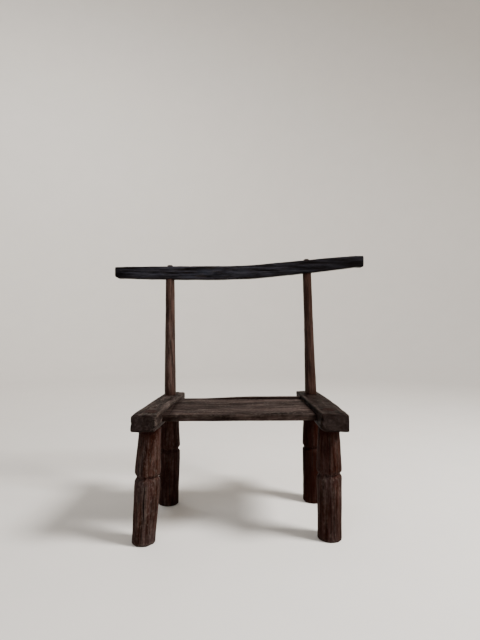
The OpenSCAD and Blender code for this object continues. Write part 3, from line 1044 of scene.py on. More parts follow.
def post_piece(node, settings, seed):
    """One whittled back post, with a tenon below and a thinner one through the crest rail."""
    shape = PostShape(node)
    stock = Stock(shape.at(shape.low_z), shape.tip, (1, 0, 0), (0, 1, 0))
    stretch = stock.length / (shape.high_z - shape.low_z)
    base = (RAIL_TOP - shape.low_z) * stretch
    shoulder = (shape.shoulder_z - shape.low_z) * stretch
    checks = check_list(POST_CHECKS[node], stock.length, settings, seed, is_round=True)
    section = RoundSection(shape.base_radius, 1.15 * MM, checks)
    rings = ring_places(stock.length, 1.8 * MM, 1.0 * MM)
    for step in (base, shoulder):
        rings = with_step(rings, step, (-0.8, -0.05, 0.05, 0.4, 0.8))
    hollow = POST_HOLLOW[node] * MM

    def radius(s):
        t = np.clip((s - base) / (shoulder - base), 0, 1)
        body = shape.base_radius * (1 - t) + shape.top_radius * t - hollow * 4 * t * (1 - t)
        body = body + POST_SWELL[node] * MM * (1 - smoothstep(0.05, 0.65, t))
        return np.where(s < base, shape.tenon, np.where(s < shoulder, body, shape.crest_tenon))

    def shrink(s):
        return 2.6 * MM * smoothstep(stock.length - 2.6 * MM, stock.length, s) ** 1.5

    def relief(local, columns, s):
        on_body = (s > base) & (s < shoulder)
        flats = facets(columns, s, radius(s), 8, seed) * 0.75 * settings.facet_depth
        knife = tool_marks(local, 9 * MM, 30 * MM, 0.35 * MM * settings.facet_depth, seed)
        swell = 0.35 * MM * grain_noise(local, 18 * MM, 50 * MM, seed + 3)
        ragged = 0.14 * MM * fibre(local, seed + 4)
        near_ends = smoothstep(0, 12 * MM, s - base) * smoothstep(0, 6 * MM, shoulder - s)
        body = (0.75 * MM - flats - knife + swell) * (0.25 + 0.75 * near_ends) + ragged
        return np.where(on_body, body, -0.06 * MM)

    def stain(local, columns, s):
        # Darker towards the crest, towards the rail and on the right side, painted shade over the right
        # post, and darkest inside the crest; the blotches are real stain
        near_crest = 0.6 * smoothstep(shoulder - 22 * MM, shoulder, s)
        near_rail = 0.35 * (1 - smoothstep(0, 25 * MM, s - base))
        blotch = 0.4 * patches(local, 12 * MM, 60 * MM, seed + 12)
        right_side = 0.3 * np.clip(np.cos(columns), 0, 1)
        in_crest = (s > shoulder) * 1.0
        return near_crest + near_rail + blotch + POST_SHADE[node] + right_side + in_crest

    def dust(local, columns, s):
        rubbed = 0.5 * patches(local, 8 * MM, 50 * MM, seed + 13, 0.1)
        return rubbed * (s < shoulder) * (1 - POST_SHADE[node])

    piece = carve(node, stock, section, rings, radius, radius, relief, checks, stain, dust,
                  shrink=shrink)
    return piece, stock


# ---------------------------------------------------------------- crest rail
class CrestShape:
    """The crest rail's height and depth along its length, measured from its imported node.

    They are read in short stretches that hold enough corner points and are clear of the ends and of
    the posts' holes.
    """

    def __init__(self, node, posts):
        points = node_points(node)
        self.low_x, self.high_x = points[:, 0].min(), points[:, 0].max()
        by_end, by_post, stretch, enough = 346 * MM, 18 * MM, 8 * MM, 24
        clear = np.abs(points[:, 0]) < by_end
        for post in posts:
            clear &= np.abs(points[:, 0] - post.tip[0]) > by_post
        points = points[clear]
        cells = np.floor(points[:, 0] / stretch).astype(int)
        knots = []
        for cell in np.unique(cells):
            ring = points[cells == cell]
            if len(ring) >= enough:
                knots.append((ring[:, 0].mean(), ring[:, 1].min(), ring[:, 1].max(),
                              ring[:, 2].min(), ring[:, 2].max()))
        self.x, front, back, self.z0, self.z1 = np.array(knots).T
        self.y_line = np.polyfit(self.x, (front + back) / 2, 1)
        self.depth = np.median(back - front)

    def over(self, x):
        """Height of the top."""
        return np.interp(x, self.x, self.z1)

    def under(self, x):
        """Height of the underside."""
        return np.interp(x, self.x, self.z0)

    def y_mid(self, x):
        """Place of the middle from front to back."""
        return np.polyval(self.y_line, x)


# The crest rail's drying checks, in the same terms as the side rails'
CREST_CHECKS = (
    (7.35, 0.30, 0.62, 0.9, 2.4),
    (5.6, 0.55, 0.93, 0.8, 2.0),
    (4.4, 0.06, 0.36, 0.9, 2.2),
    (0.5, 0.2, 0.8, 1.2, 3.4),
)


def crest_piece(node, posts, settings, seed):
    """The long crest rail, thickest in the middle, bending upwards to the right."""
    shape = CrestShape(node, posts)
    length = shape.high_x - shape.low_x
    stock = Stock((shape.low_x, 0, 0), (shape.high_x, 0, 0), (0, 1, 0), (0, 0, 1))
    checks = check_list(CREST_CHECKS, length, settings, seed)
    radii = (4.5 * MM, 5 * MM, 5 * MM, 4.5 * MM)
    section = BoxSection(shape.depth / 2, 18 * MM, radii, 1.6 * MM, checks)
    rings = ring_places(length, 1.9 * MM, 2.0 * MM)

    def half_v(s):
        return (shape.over(s + shape.low_x) - shape.under(s + shape.low_x)) / 2

    def shift_v(s):
        return (shape.over(s + shape.low_x) + shape.under(s + shape.low_x)) / 2

    def straightened(local, s):
        flat = local.copy()
        flat[..., 1] -= shift_v(s)
        return flat

    def relief(local, columns, s):
        flat = straightened(local, s)
        marks = tool_marks(flat, 21 * MM, 46 * MM, 0.8 * MM * settings.scoop_depth, seed)
        swell = 0.45 * MM * grain_noise(flat, 30 * MM, 80 * MM, seed + 3) - 0.35 * MM
        ragged = 0.15 * MM * fibre(flat, seed + 4)
        worn = arris_nicks(flat, columns, 14 * MM, 0.4, 1.6 * MM * settings.arris_wear, seed)
        broken_end = 5 * MM * np.clip(1 - (s + (flat[..., 1] + half_v(s)) * 0.9) / (8 * MM), 0, 1)
        return swell + 0.3 * MM - marks + ragged - worn - broken_end

    def stain(local, columns, s):
        # Painted shade at the left end, over the right half and on the underside
        left_end = 0.35 * (1 - smoothstep(0.05 * length, 0.22 * length, s))
        right_half = 0.75 * smoothstep(0.5 * length, 0.85 * length, s)
        return left_end + right_half + 0.6 * side_share(columns, 3)

    def dust(local, columns, s):
        # A painted bluish sheen across the middle of the crest rail, over rubbed patches
        rubbed = patches(straightened(local, s), 12 * MM, 50 * MM, seed + 13)
        middle_part = hump(s - 0.40 * length, 0.18 * length)
        return rubbed * (0.08 + 0.92 * middle_part)

    piece = carve(node, stock, section, rings, constant(shape.depth / 2), half_v, relief, checks,
                  stain, dust, shift_u=lambda s: shape.y_mid(s + shape.low_x), shift_v=shift_v,
                  shrink=lambda s: end_shrink(s, length, 2.0 * MM), cap_relief=0.5 * MM, cap_rings=12)
    return piece, stock


# ---------------------------------------------------------------- joints
def span(start, end):
    """The distance between two points."""
    return float(np.linalg.norm(end - start))


def turned(start, end, outline, sides=48):
    """Points and faces of a round cutter: outline holds places from start to end and radii."""
    start, end = Vector(start), Vector(end)
    axis = (end - start).normalized()
    turn = axis.to_track_quat("Z", "Y")
    angles = np.linspace(0, 2 * math.pi, sides, endpoint=False)
    points, faces = [], []
    for s, radius in outline:
        ring = (Vector((radius * math.cos(a), radius * math.sin(a), s)) for a in angles)
        points += [start + turn @ point for point in ring]
    for ring in range(len(outline) - 1):
        a, b = ring * sides, (ring + 1) * sides
        faces += [(a + i, a + (i + 1) % sides, b + (i + 1) % sides, b + i) for i in range(sides)]
    last = (len(outline) - 1) * sides
    faces += [tuple(range(sides))[::-1], tuple(range(last, last + sides))]
    return points, faces


def bored(start, end, radius):
    """A cutter for a plain round hole between two points."""
    return turned(start, end, ((0, radius), (span(start, end), radius)))


def block(plan, low, high):
    """Points and faces of a straight-sided cutter from its four plan corners and two heights."""
    points = [Vector((x, y, low)) for x, y in plan] + [Vector((x, y, high)) for x, y in plan]
    faces = [(3, 2, 1, 0), (4, 5, 6, 7)] + [(i, (i + 1) % 4, 4 + (i + 1) % 4, 4 + i) for i in range(4)]
    return points, faces


def is_closed(mesh):
    """Whether every edge of a mesh has exactly two faces."""
    edges = np.empty(len(mesh.loops), dtype=np.int32)
    mesh.loops.foreach_get("edge_index", edges)
    return bool((np.bincount(edges, minlength=len(mesh.edges)) == 2).all())


def cut_joints(piece, cutters):
    """Takes every cutter out of a piece in one go and keeps the piece's own wear, stain and painted
    shade.
    """
    points, faces = [], []
    for cutter_points, cutter_faces in cutters:
        faces += [tuple(i + len(points) for i in face) for face in cutter_faces]
        points += [tuple(p) for p in cutter_points]
    mesh = bpy.data.meshes.new("cutter")
    mesh.from_pydata(points, [], faces)
    cutter = bpy.data.objects.new("cutter", mesh)
    bpy.context.scene.collection.objects.link(cutter)
    cut = piece.modifiers.new("cut", "BOOLEAN")
    cut.object, cut.operation = cutter, "DIFFERENCE"
    for solver in ("EXACT", "FAST"):
        cut.solver = solver
        bpy.context.view_layer.update()
        graph = bpy.context.evaluated_depsgraph_get()
        result = bpy.data.meshes.new_from_object(piece.evaluated_get(graph))
        if len(result.polygons) > len(piece.data.polygons) / 2 and is_closed(result):
            break
        bpy.data.meshes.remove(result)
    else:
        raise RuntimeError("a joint could not be cut in " + piece.name)
    piece.modifiers.clear()
    old = piece.data
    piece.data = result
    bpy.data.meshes.remove(old)
    bpy.data.objects.remove(cutter)
    bpy.data.meshes.remove(mesh)
    result.name = piece.name


def write_grain(piece, stock, offset):
    """Keeps each corner point's place in the grain: across it, up it and along it."""
    mesh = piece.data
    directions = np.array((stock.across, stock.up, stock.along)).T
    local = np.linalg.solve(directions, (mesh_points(mesh) - stock.start).T).T
    local = local + np.array((*FROM_PITH, offset))
    layer = mesh.attributes.new("grain_at", "FLOAT_VECTOR", "POINT")
    layer.data.foreach_set("vector", local.astype(np.float32).ravel())


def finish_mesh(piece):
    """One material all over and crisp edges where the surface turns sharply."""
    mesh = piece.data
    mesh.polygons.foreach_set("material_index", np.zeros(len(mesh.polygons), dtype=np.int32))
    mesh.shade_smooth()
    mesh.set_sharp_from_angle(angle=SHARP_ANGLE)
    mesh.update()


# ---------------------------------------------------------------- finishes
class Nodes:
    """A short way of adding shader nodes to a material and wiring them."""

    def __init__(self, name):
        self.material = bpy.data.materials.new(name)
        self.material.use_nodes = True
        self.tree = self.material.node_tree
        self.tree.nodes.clear()

    def put(self, kind, inputs=None, **settings):
        """Adds a node of one kind with its settings and inputs."""
        node = self.tree.nodes.new(kind)
        for name, value in settings.items():
            setattr(node, name, value)
        for name, value in (inputs or {}).items():
            self.feed(node, name, value)
        return node

    def feed(self, node, name, value):
        """Wires another node's output to an input, or gives the input a plain value."""
        socket = node.inputs[name]
        if isinstance(value, bpy.types.NodeSocket):
            self.tree.links.new(value, socket)
        else:
            socket.default_value = value

    def math(self, operation, a, b=0.0, clamp=False):
        return self.put("ShaderNodeMath", {0: a, 1: b}, operation=operation, use_clamp=clamp).outputs[0]

    def times(self, a, b, clamp=False):
        return self.math("MULTIPLY", a, b, clamp)

    def mix(self, share, a, b, blend="MIX"):
        """The colour a, with a share of the colour b mixed into it."""
        node = self.put("ShaderNodeMix", {0: share, 6: a, 7: b}, data_type="RGBA", blend_type=blend)
        return node.outputs[2]

    def spread(self, value, low, high, to_low=0.0, to_high=1.0):
        """A value's place between low and high, spread over another range."""
        ends = {"From Min": low, "From Max": high, "To Min": to_low, "To Max": to_high}
        return self.put("ShaderNodeMapRange", {"Value": value, **ends}).outputs[0]

    def noise(self, vector, across, along, shift=0.0, detail=3.0, rough=0.6, distortion=0.0):
        """Noise in the grain's own space, as fine across it and along it as asked."""
        scale = {"Vector": vector, "Scale": (across, across, along), "Location": (shift, shift, shift)}
        place = self.put("ShaderNodeMapping", scale).outputs[0]
        look = {"Scale": 1.0, "Detail": detail, "Roughness": rough, "Distortion": distortion}
        return self.put("ShaderNodeTexNoise", {"Vector": place, **look}).outputs[0]

    def attribute(self, name, output):
        return self.put("ShaderNodeAttribute", attribute_name=name).outputs[output]

    def surface(self, inputs):
        """Ends the material with a principled surface and returns its node."""
        skin = self.put("ShaderNodeBsdfPrincipled", inputs)
        self.put("ShaderNodeOutputMaterial", {"Surface": skin.outputs[0]})
        return skin


def shade(colour, by):
    """A colour made lighter or darker."""
    return tuple(min(1.0, c * by) for c in colour[:3]) + (1.0,)


def ashen(colour, by, share, ash):
    """A lighter colour of the same wood, part of the way to the grey of its dust."""
    return tuple(c * by * (1 - share) + grey * share for c, grey in zip(colour[:3], ash)) + (1.0,)


def deepened(colour, by):
    """A deeper and redder colour of the same wood."""
    return (colour[0] * by, colour[1] * by * 0.50, colour[2] * by * 0.25, 1.0)


def end_grain_tone(n, grain, broad, mottle, colour, tones, grey):
    """The colour of sawn and hewn ends: faint growth rings, paler patches and darker ones."""
    dark, dusty = tones
    waves = {"Vector": grain, "Scale": 120.0, "Distortion": 5.0, "Detail": 2.0, "Detail Scale": 0.4}
    rings = n.put("ShaderNodeTexWave", waves, wave_type="RINGS", rings_direction="Z")
    pale = ashen(colour, 2.6, 0.45, grey)
    tone = n.mix(n.spread(rings.outputs["Fac"], 0.2, 0.9), shade(colour, 0.55), pale)
    tone = n.mix(n.spread(mottle, 0.50, 0.62, 0.0, 0.7), tone, dusty)
    return n.mix(n.spread(broad, 0.50, 0.36, 0.0, 0.6), tone, dark)


def wood_finish(name, colour, worn, look):
    """Old hand-worked wood: streaked along the grain, dark in its hollows and pale where rubbed."""
    n = Nodes(name)
    grain = n.attribute("grain_at", "Vector")
    wear, grime, ends, stain, dust = (
        n.attribute(label, "Fac") for label in ("wear", "grime", "end_grain", "stain", "dust")
    )

    # Patterns in the wood, from the broadest to the finest
    across = look["across"]
    broad = n.noise(grain, 42.0, 9.0, 0.0, 3.0, 0.55)
    band = n.noise(grain, across * 0.4, 14.0, 6.4)
    streak = n.noise(grain, across, across / 26, 3.1, 4.0, 0.66, 0.25)
    mottle = n.noise(grain, 160.0, 110.0, 1.3, 4.0)
    scratch = n.noise(grain, 900.0, 9.0, 5.5, 2.0, 0.5, 0.4)
    pores = n.noise(grain, 1300.0, 110.0, 9.2, 1.0, 0.5)
    fine = n.noise(grain, 1500.0, 38.0, 7.7, 3.0, 0.65)
    split = n.spread(n.noise(grain, across * 1.6, 8.0, 2.6, 1.5, 0.5, 0.3), 0.375, 0.335)
    speck = n.spread(n.noise(grain, 300.0, 130.0, 4.4, 2.0), 0.595, 0.655)
    scuff = n.noise(grain, across * 0.62, across * 0.16, 8.8, 4.0, 0.7, 0.6)
    scuff = n.spread(scuff, 0.545, 0.64, 0.0, look["scuff"])

    # The wood's own colour: each pattern mixes in a tone between its low and high values
    dark = deepened(colour, look["dark"] * 1.2)
    light = ashen(colour, look["light"], look["ash"], look["grey"])
    dusty = ashen(colour, look["light"] * 1.3, look["ash"] + 0.25, look["grey"])
    base = n.mix(n.spread(broad, 0.38, 0.60), dark, colour)
    for pattern, low, high, amount, tone in (
        (band, 0.44, 0.58, look["band"], light),
        (band, 0.46, 0.36, look["band"], dark),
        (streak, 0.42, 0.64, look["streak"], light),
        (fine, 0.52, 0.34, 0.55, dark),
        (mottle, 0.50, 0.72, look["mottle"], shade(worn, 0.75)),
        (scratch, 0.555, 0.625, look["scratch"], dusty),
        (pores, 0.36, 0.30, 0.6, shade(colour, 0.25)),
    ):
        base = n.mix(n.spread(pattern, low, high, 0.0, amount), base, tone)
    streaked = n.spread(streak, 0.36, 0.64, look["low"], look["high"])
    depth = n.times(streaked, n.spread(band, 0.40, 0.60, 0.72, 1.32))
    depth = n.put("ShaderNodeCombineColor", {"Red": depth, "Green": depth, "Blue": depth})
    base = n.mix(1.0, base, depth.outputs[0], "MULTIPLY")

    # What use and age have laid over it, with painted shade and a painted sheen, each with its share
    # and its tone
    worn_share = n.times(wear, n.spread(mottle, 0.42, 0.62, 0.15, 1.0))
    worn_share = n.times(worn_share, look["wear"], clamp=True)
    open_wood = n.spread(stain, 0.15, 0.45, 1.0, 0.12)
    end_share = n.times(ends, n.spread(stain, 0.93, 1.0, look["ends"], 0.1 * look["ends"]))
    for share, tone in (
        (worn_share, worn),
        # Dust, and on the crest rail a painted sheen
        (n.times(dust, n.spread(streak, 0.35, 0.62, 0.15, 0.85)), dusty),
        (n.times(n.times(speck, open_wood), look["speck"]), shade(worn, 1.25)),
        (n.times(scuff, n.spread(dust, 0.0, 0.6, 0.35, 1.0)), worn),
        # Stain and painted shade, in a deeper and redder tone
        (n.times(stain, 0.85, clamp=True), deepened(colour, 0.36)),
        (n.times(split, 0.8), shade(colour, 0.16)),
        (end_share, end_grain_tone(n, grain, broad, mottle, colour, (dark, dusty), look["grey"])),
        # Grime and painted shade in hollows and checks
        (n.times(grime, 0.85), shade(colour, 0.16)),
    ):
        base = n.mix(share, base, tone)

    rough = n.spread(mottle, 0.3, 0.7, look["rough"] - 0.09, look["rough"] + 0.12)
    rough = n.math("SUBTRACT", rough, n.times(worn_share, 0.10))
    rough = n.math("ADD", rough, n.times(grime, 0.15), clamp=True)
    height = n.times(streak, 0.5)
    height = n.math("ADD", height, n.times(fine, 0.30))
    height = n.math("ADD", height, n.times(mottle, 0.35))
    height = n.math("SUBTRACT", height, n.spread(pores, 0.38, 0.30, 0.0, 0.5))
    height = n.math("SUBTRACT", height, n.times(split, 1.2))
    bump = n.put("ShaderNodeBump", {"Strength": 0.8, "Distance": look["bump"] * MM, "Height": height})
    skin = n.surface({"Base Color": base, "Roughness": rough, "Normal": bump.outputs[0], "IOR": 1.45})
    skin.inputs["Specular IOR Level"].default_value = look["shine"]
    n.material.diffuse_color = tuple(colour[:3]) + (1.0,)
    return n.material


# The grey of dust on bare wood, and the bluish grey of the crest rail's pale streaks and painted sheen
GREY = (0.0375, 0.0310, 0.0315)
SHEEN_GREY = (0.0260, 0.0310, 0.0440)
# How each kind of wood looks. Darkest and lightest tones, as shares of its colour; how ashen it is and
# with which grey; how fine its streaks are across the grain; how strong its streaks, bands, mottling,
# scratches, specks and scuffs are; the range that streaks spread its tone over; how much rubbing and
# cut ends show; and its roughness, bump height in millimetres and shine.
LOOKS = {
    "rail_wood": dict(
        dark=0.30, light=2.30, ash=0.35, grey=GREY, across=230.0,
        streak=0.60, band=0.55, mottle=0.40, scratch=0.70, speck=0.80, scuff=0.60,
        low=0.30, high=1.80, wear=0.45, ends=0.80, rough=0.60, bump=0.70, shine=0.022,
    ),
    "seat_wood": dict(
        dark=0.25, light=2.40, ash=0.30, grey=GREY, across=140.0,
        streak=0.75, band=0.70, mottle=0.30, scratch=0.75, speck=0.55, scuff=0.42,
        low=0.25, high=1.90, wear=0.20, ends=0.50, rough=0.60, bump=0.70, shine=0.010,
    ),
    "leg_wood": dict(
        dark=0.36, light=2.00, ash=0.72, grey=GREY, across=400.0,
        streak=0.45, band=0.42, mottle=0.22, scratch=0.15, speck=0.25, scuff=0.42,
        low=0.72, high=1.50, wear=0.40, ends=0.30, rough=0.54, bump=0.70, shine=0.012,
    ),
    "post_wood": dict(
        dark=0.40, light=2.10, ash=0.32, grey=GREY, across=360.0,
        streak=0.55, band=0.40, mottle=0.20, scratch=0.20, speck=0.30, scuff=0.30,
        low=0.55, high=1.70, wear=0.30, ends=0.95, rough=0.50, bump=0.45, shine=0.060,
    ),
    "crest_wood": dict(
        dark=0.35, light=2.60, ash=0.36, grey=SHEEN_GREY, across=200.0,
        streak=0.80, band=0.75, mottle=0.15, scratch=0.30, speck=0.06, scuff=0.40,
        low=0.35, high=2.00, wear=0.20, ends=0.50, rough=0.48, bump=0.80, shine=0.030,
    ),
}


# ---------------------------------------------------------------- settings
def colour_setting(name, description, default):
    """A colour in the panel."""
    return bpy.props.FloatVectorProperty(
        name=name, description=description, default=default, subtype="COLOR", size=3, min=0.0, max=1.0
    )


def amount_setting(name, description, default, high=3.0, **more):
    """A number in the panel that is never below 0."""
    return bpy.props.FloatProperty(
        name=name, description=description, default=default, min=0.0, max=high, **more
    )


def length_setting(name, description, default, high):
    """A length in the panel."""
    return amount_setting(name, description, default, high, unit="LENGTH", subtype="DISTANCE")


class LowChairShapes(bpy.types.PropertyGroup):
    """How strongly the wood is hewn, cut and worn."""

    facet_depth: amount_setting("Facets", "Depth of the flats on the legs and posts", 1.0)
    scoop_depth: amount_setting("Adze marks", "Depth of the tool marks on rails, plank and crest", 1.0)
    groove_depth: length_setting("Leg groove", "Depth of each leg's groove", 5.2 * MM, 8 * MM)
    check_width: amount_setting("Checks", "Width of the drying checks", 1.0, 2.0)
    arris_wear: amount_setting("Worn arrises", "Depth of the nicks along the edges", 1.0)
    plank_wave: length_setting("Plank underside", "Depth of its waves", 2.2 * MM, 5 * MM)


class LowChairColours(bpy.types.PropertyGroup):
    """Colours of the woods and of the studio."""

    rail: colour_setting("Side rails", "Colour of the side rails", (0.0122, 0.0076, 0.0060))
    seat: colour_setting("Seat plank", "Colour of the seat plank", (0.0129, 0.0078, 0.0060))
    leg: colour_setting("Legs", "Colour of the legs", (0.0255, 0.0067, 0.0023))
    post: colour_setting("Back posts", "Colour of the back posts", (0.0345, 0.0184, 0.0140))
    crest: colour_setting("Crest rail", "Colour of the crest rail", (0.0030, 0.0019, 0.0018))
    worn: colour_setting("Worn wood", "Colour of rubbed edges and scratches", (0.105, 0.084, 0.072))
    floor: colour_setting("Floor", "Colour of the studio floor", (0.80, 0.77, 0.73))


class LowChairLight(bpy.types.PropertyGroup):
    """Strength of the studio lights."""

    key: amount_setting("Key", "Soft light from the right", 165.0, 2000.0, unit="POWER")
    fill: amount_setting("Fill", "Cool light from the front", 20.0, 2000.0, unit="POWER")
    wash: amount_setting("Wall", "Light on the back wall", 55.0, 2000.0, unit="POWER")
    sky: amount_setting("Surround", "Even light from all round", 0.20, 10.0)


def shapes():
    """The panel's settings for the shapes."""
    return bpy.context.scene.low_chair_shapes


def finish_for(slot):
    """The finish of a kind of wood, made once."""
    name = "low_chair_" + slot
    if name in bpy.data.materials:
        return bpy.data.materials[name]
    colours = bpy.context.scene.low_chair_colours
    colour = tuple(getattr(colours, slot.replace("_wood", ""))) + (1.0,)
    worn = tuple(colours.worn) + (1.0,)
    if slot == "crest_wood":
        worn = shade(worn, 0.30)
    return wood_finish(name, colour, worn, LOOKS[slot])


SLOTS = {part["node"]: part["material_slot"] for part in RECORD["subparts"]}
SEEDS = {node: 11 + 17 * i for i, node in enumerate(sorted(SLOTS))}


def keep_in_box(piece):
    """Trims what stands a fraction of a millimetre past the solid model's box."""
    inside = np.clip(mesh_points(piece.data), np.array(CAD_BOX[0]), np.array(CAD_BOX[1]))
    piece.data.vertices.foreach_set("co", inside.reshape(-1))
    piece.data.update()


def complete(piece, node, stock):
    """Last steps for every piece: grain, crisp edges, finish and place in the frame."""
    write_grain(piece, stock, 0.31 * SEEDS[node])
    keep_in_box(piece)
    finish_mesh(piece)
    piece.data.materials.clear()
    piece.data.materials.append(finish_for(SLOTS[node]))
    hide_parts(node)
    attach(piece, BODY)


def plank_housing(side):
    """The cutter for the slot in a side rail that takes the seat plank's tongue."""
    plank = node_points("seat_plank")
    y0, y1 = plank[:, 1].min() - FIT_GAP, plank[:, 1].max() + FIT_GAP
    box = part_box("seat_plank")
    length = 60 * MM
    x0 = box[0].x if side == "left" else box[1].x - length
    plan = ((x0, y0), (x0 + length, y0), (x0 + length, y1), (x0, y1))
    return block(plan, box[0].z - FIT_GAP, RAIL_TOP - TONGUE_DROP + FIT_GAP)


# ---------------------------------------------------------------- operators
class LOWCHAIR_OT_side_rails(bpy.types.Operator):
    """Build the two side rails with their housings and mortises"""

    bl_idname = "low_chair.side_rails"
    bl_label = "Side rails"

    def execute(self, context):
        for node in RAIL_NODES:
            piece, stock = rail_piece(node, shapes(), SEEDS[node])
            side = node.split("_")[0]
            leg = LegShape("front_" + side + "_leg")
            post = PostShape(side + "_back_post")
            low, high = RAIL_UNDERSIDE[node], RAIL_TOP
            ends = (0, leg.tenon + FIT_GAP), (high - low + 10 * MM, leg.tenon + FIT_GAP)
            mortise = turned(leg.axis_at(low - 5 * MM), leg.axis_at(high + 5 * MM), ends)
            hole = bored(post.at(low - 8 * MM), post.at(high + 8 * MM), post.tenon + FIT_GAP)
            cut_joints(piece, (mortise, hole, plank_housing(side)))
            complete(piece, node, stock)
        return {"FINISHED"}


class LOWCHAIR_OT_seat_plank(bpy.types.Operator):
    """Build the seat plank with its raised rear strip"""

    bl_idname = "low_chair.seat_plank"
    bl_label = "Seat plank"

    def execute(self, context):
        node = "seat_plank"
        piece, stock = plank_piece(node, shapes(), SEEDS[node])
        complete(piece, node, stock)
        return {"FINISHED"}


class LOWCHAIR_OT_legs(bpy.types.Operator):
    """Build the four grooved legs"""

    bl_idname = "low_chair.legs"
    bl_label = "Legs"

    def execute(self, context):
        for node in LEG_NODES:
            piece, stock, shape = leg_piece(node, shapes(), SEEDS[node])
            if not shape.has_tenon:
                side = "left" if "left" in node else "right"
                post = PostShape(side + "_back_post")
                bottom, top = post.at(post.low_z - 1 * MM), post.at(shape.head_z + 20 * MM)
                cut_joints(piece, (bored(bottom, top, post.tenon + FIT_GAP),))
            complete(piece, node, stock)
        return {"FINISHED"}


class LOWCHAIR_OT_back_posts(bpy.types.Operator):
    """Build the two leaning back posts"""

    bl_idname = "low_chair.back_posts"
    bl_label = "Back posts"

    def execute(self, context):
        for node in POST_NODES:
            piece, stock = post_piece(node, shapes(), SEEDS[node])
            complete(piece, node, stock)
        return {"FINISHED"}


class LOWCHAIR_OT_crest_rail(bpy.types.Operator):
    """Build the crest rail with the mortises for both posts"""

    bl_idname = "low_chair.crest_rail"
    bl_label = "Crest rail"

    def execute(self, context):
        node = "crest_rail"
        posts = [PostShape(name) for name in POST_NODES]
        piece, stock = crest_piece(node, posts, shapes(), SEEDS[node])
        cutters = []
        for post in posts:
            start, end = post.at(post.shoulder_z - 25 * MM), post.at(post.high_z + 12 * MM)
            whole = span(start, end)
            seat = whole * 25 * MM / (post.high_z + 12 * MM - post.shoulder_z + 25 * MM)
            wide, narrow = post.top_radius + FIT_GAP, post.crest_tenon + FIT_GAP
            outline = ((0, wide), (seat, wide), (seat + 0.01 * MM, narrow), (whole, narrow))
            cutters.append(turned(start, end, outline))
        cut_joints(piece, cutters)
        complete(piece, node, stock)
        return {"FINISHED"}


class LOWCHAIR_OT_stage(bpy.types.Operator):
    """Build the pale studio: floor, soft lights and the camera"""

    bl_idname = "low_chair.stage"
    bl_label = "Studio"

    def execute(self, context):
        build_floor()
        build_lights()
        build_camera()
        return {"FINISHED"}


def build_floor():
    """A round pale floor that sweeps up into a pale wall, far enough off to walk round the chair."""
    flat, sweep, wall = 3.0, 1.4, 6.0
    rise = np.linspace(0.1, math.pi / 2, 14)
    outline = [(r, 0.0) for r in (0.5, 1.2, 2.1, flat)]
    outline += [(flat + sweep * math.sin(a), sweep * (1 - math.cos(a))) for a in rise]
    outline.append((flat + sweep, wall))
    turns = 96
    around = np.linspace(0, 2 * math.pi, turns, endpoint=False)
    points = [(0.0, 0.0, 0.0)]
    for radius, height in outline:
        points += [(radius * math.cos(a), radius * math.sin(a), height) for a in around]
    faces = [(0, 1 + i, 1 + (i + 1) % turns) for i in range(turns)]
    for ring in range(len(outline) - 1):
        a, b = 1 + ring * turns, 1 + (ring + 1) * turns
        faces += [(a + i, b + i, b + (i + 1) % turns, a + (i + 1) % turns) for i in range(turns)]
    mesh = bpy.data.meshes.new("studio_floor")
    mesh.from_pydata(points, [], faces)
    mesh.shade_smooth()
    floor = bpy.data.objects.new("studio_floor", mesh)
    bpy.context.scene.collection.objects.link(floor)
    n = Nodes("studio_floor")
    place = n.put("ShaderNodeTexCoord").outputs["Object"]
    patch = n.noise(place, 6.0, 6.0, detail=4.0)
    colour = tuple(bpy.context.scene.low_chair_colours.floor) + (1.0,)
    tint = n.mix(n.spread(patch, 0.3, 0.7, 0.0, 0.35), colour, shade(colour, 0.93))
    n.surface({"Base Color": tint, "Roughness": 0.75})
    floor.data.materials.append(n.material)
    floor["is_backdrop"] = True


def area_light(name, place, aim, size, power, colour):
    """A round soft light at a place, aimed at a point."""
    light = bpy.data.lights.new(name, "AREA")
    light.shape, light.size = "DISK", size
    light.energy, light.color = power, colour
    lamp = bpy.data.objects.new(name, light)
    lamp.location = place
    lamp.rotation_euler = (Vector(aim) - Vector(place)).to_track_quat("-Z", "Y").to_euler()
    bpy.context.scene.collection.objects.link(lamp)


def build_lights():
    """A soft key from the right, a weak cool fill from the front, a wall wash and a warm surround."""
    light = bpy.context.scene.low_chair_light
    area_light("key", (1.75, -0.75, 2.4), (0, 0, 0.35), 0.8, light.key, (1.0, 0.97, 0.94))
    area_light("fill", (-0.9, -2.2, 2.4), (0, 0, 0.35), 1.2, light.fill, (0.84, 0.91, 1.0))
    area_light("wall_wash", (-1.2, 1.4, 3.0), (-0.8, 4.4, 1.2), 1.2, light.wash, (1.0, 0.98, 0.95))
    world = bpy.data.worlds.new("surround")
    world.use_nodes = True
    sky = world.node_tree.nodes["Background"]
    sky.inputs["Color"].default_value = (1.0, 0.93, 0.85, 1.0)
    sky.inputs["Strength"].default_value = light.sky
    bpy.context.scene.world = world


CAMERA_PLACE = (-0.0380, -1.2141, 0.500)
CAMERA_YAW = math.radians(-1.5)


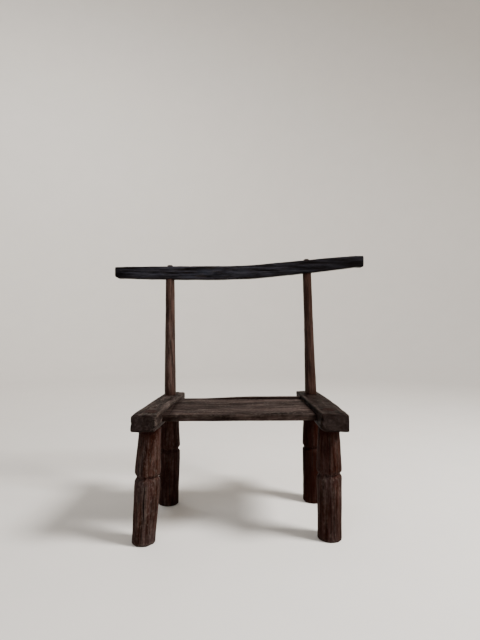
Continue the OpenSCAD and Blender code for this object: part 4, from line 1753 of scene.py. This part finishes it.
def build_camera():
    """A level camera half a metre up, in front of the chair."""
    lens = bpy.data.cameras.new("camera")
    lens.lens, lens.sensor_width = 27.0, 36.0
    lens.clip_start, lens.clip_end = 0.02, 40.0
    camera = bpy.data.objects.new("camera", lens)
    camera.location = CAMERA_PLACE
    camera.rotation_euler = (math.radians(90), 0.0, CAMERA_YAW)
    bpy.context.scene.collection.objects.link(camera)
    bpy.context.scene.camera = camera


class LOWCHAIR_PT_panel(bpy.types.Panel):
    """Lists the pieces of the chair and their settings"""

    bl_label = "Low chair"
    bl_idname = "LOWCHAIR_PT_panel"
    bl_space_type = "VIEW_3D"
    bl_region_type = "UI"
    bl_category = "Low chair"

    def draw(self, context):
        layout = self.layout
        for operator in OPERATORS:
            layout.operator(operator.bl_idname)
        for group in ("low_chair_shapes", "low_chair_colours", "low_chair_light"):
            settings = getattr(context.scene, group)
            column = layout.column(align=True)
            for name in settings.__annotations__:
                column.prop(settings, name)


OPERATORS = (
    LOWCHAIR_OT_side_rails,
    LOWCHAIR_OT_seat_plank,
    LOWCHAIR_OT_legs,
    LOWCHAIR_OT_back_posts,
    LOWCHAIR_OT_crest_rail,
    LOWCHAIR_OT_stage,
)
CLASSES = (LowChairShapes, LowChairColours, LowChairLight) + OPERATORS + (LOWCHAIR_PT_panel,)


def register():
    """Adds the operators, the settings and the panel."""
    for kind in CLASSES:
        bpy.utils.register_class(kind)
    bpy.types.Scene.low_chair_shapes = bpy.props.PointerProperty(type=LowChairShapes)
    bpy.types.Scene.low_chair_colours = bpy.props.PointerProperty(type=LowChairColours)
    bpy.types.Scene.low_chair_light = bpy.props.PointerProperty(type=LowChairLight)


def unregister():
    """Takes the operators, the settings and the panel out again."""
    del bpy.types.Scene.low_chair_light
    del bpy.types.Scene.low_chair_colours
    del bpy.types.Scene.low_chair_shapes
    for kind in reversed(CLASSES):
        bpy.utils.unregister_class(kind)


def plain(bounds):
    """A box as plain lists of numbers."""
    return [[round(float(v), 5) for v in corner] for corner in bounds]


def main():
    """Builds every piece and the studio."""
    register()
    bpy.ops.low_chair.side_rails()
    bpy.ops.low_chair.seat_plank()
    bpy.ops.low_chair.legs()
    bpy.ops.low_chair.back_posts()
    bpy.ops.low_chair.crest_rail()
    bpy.ops.low_chair.stage()
    {"cad": plain(CAD_BOX), "pieces": plain(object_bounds())}


if __name__ == "__main__":
    main()
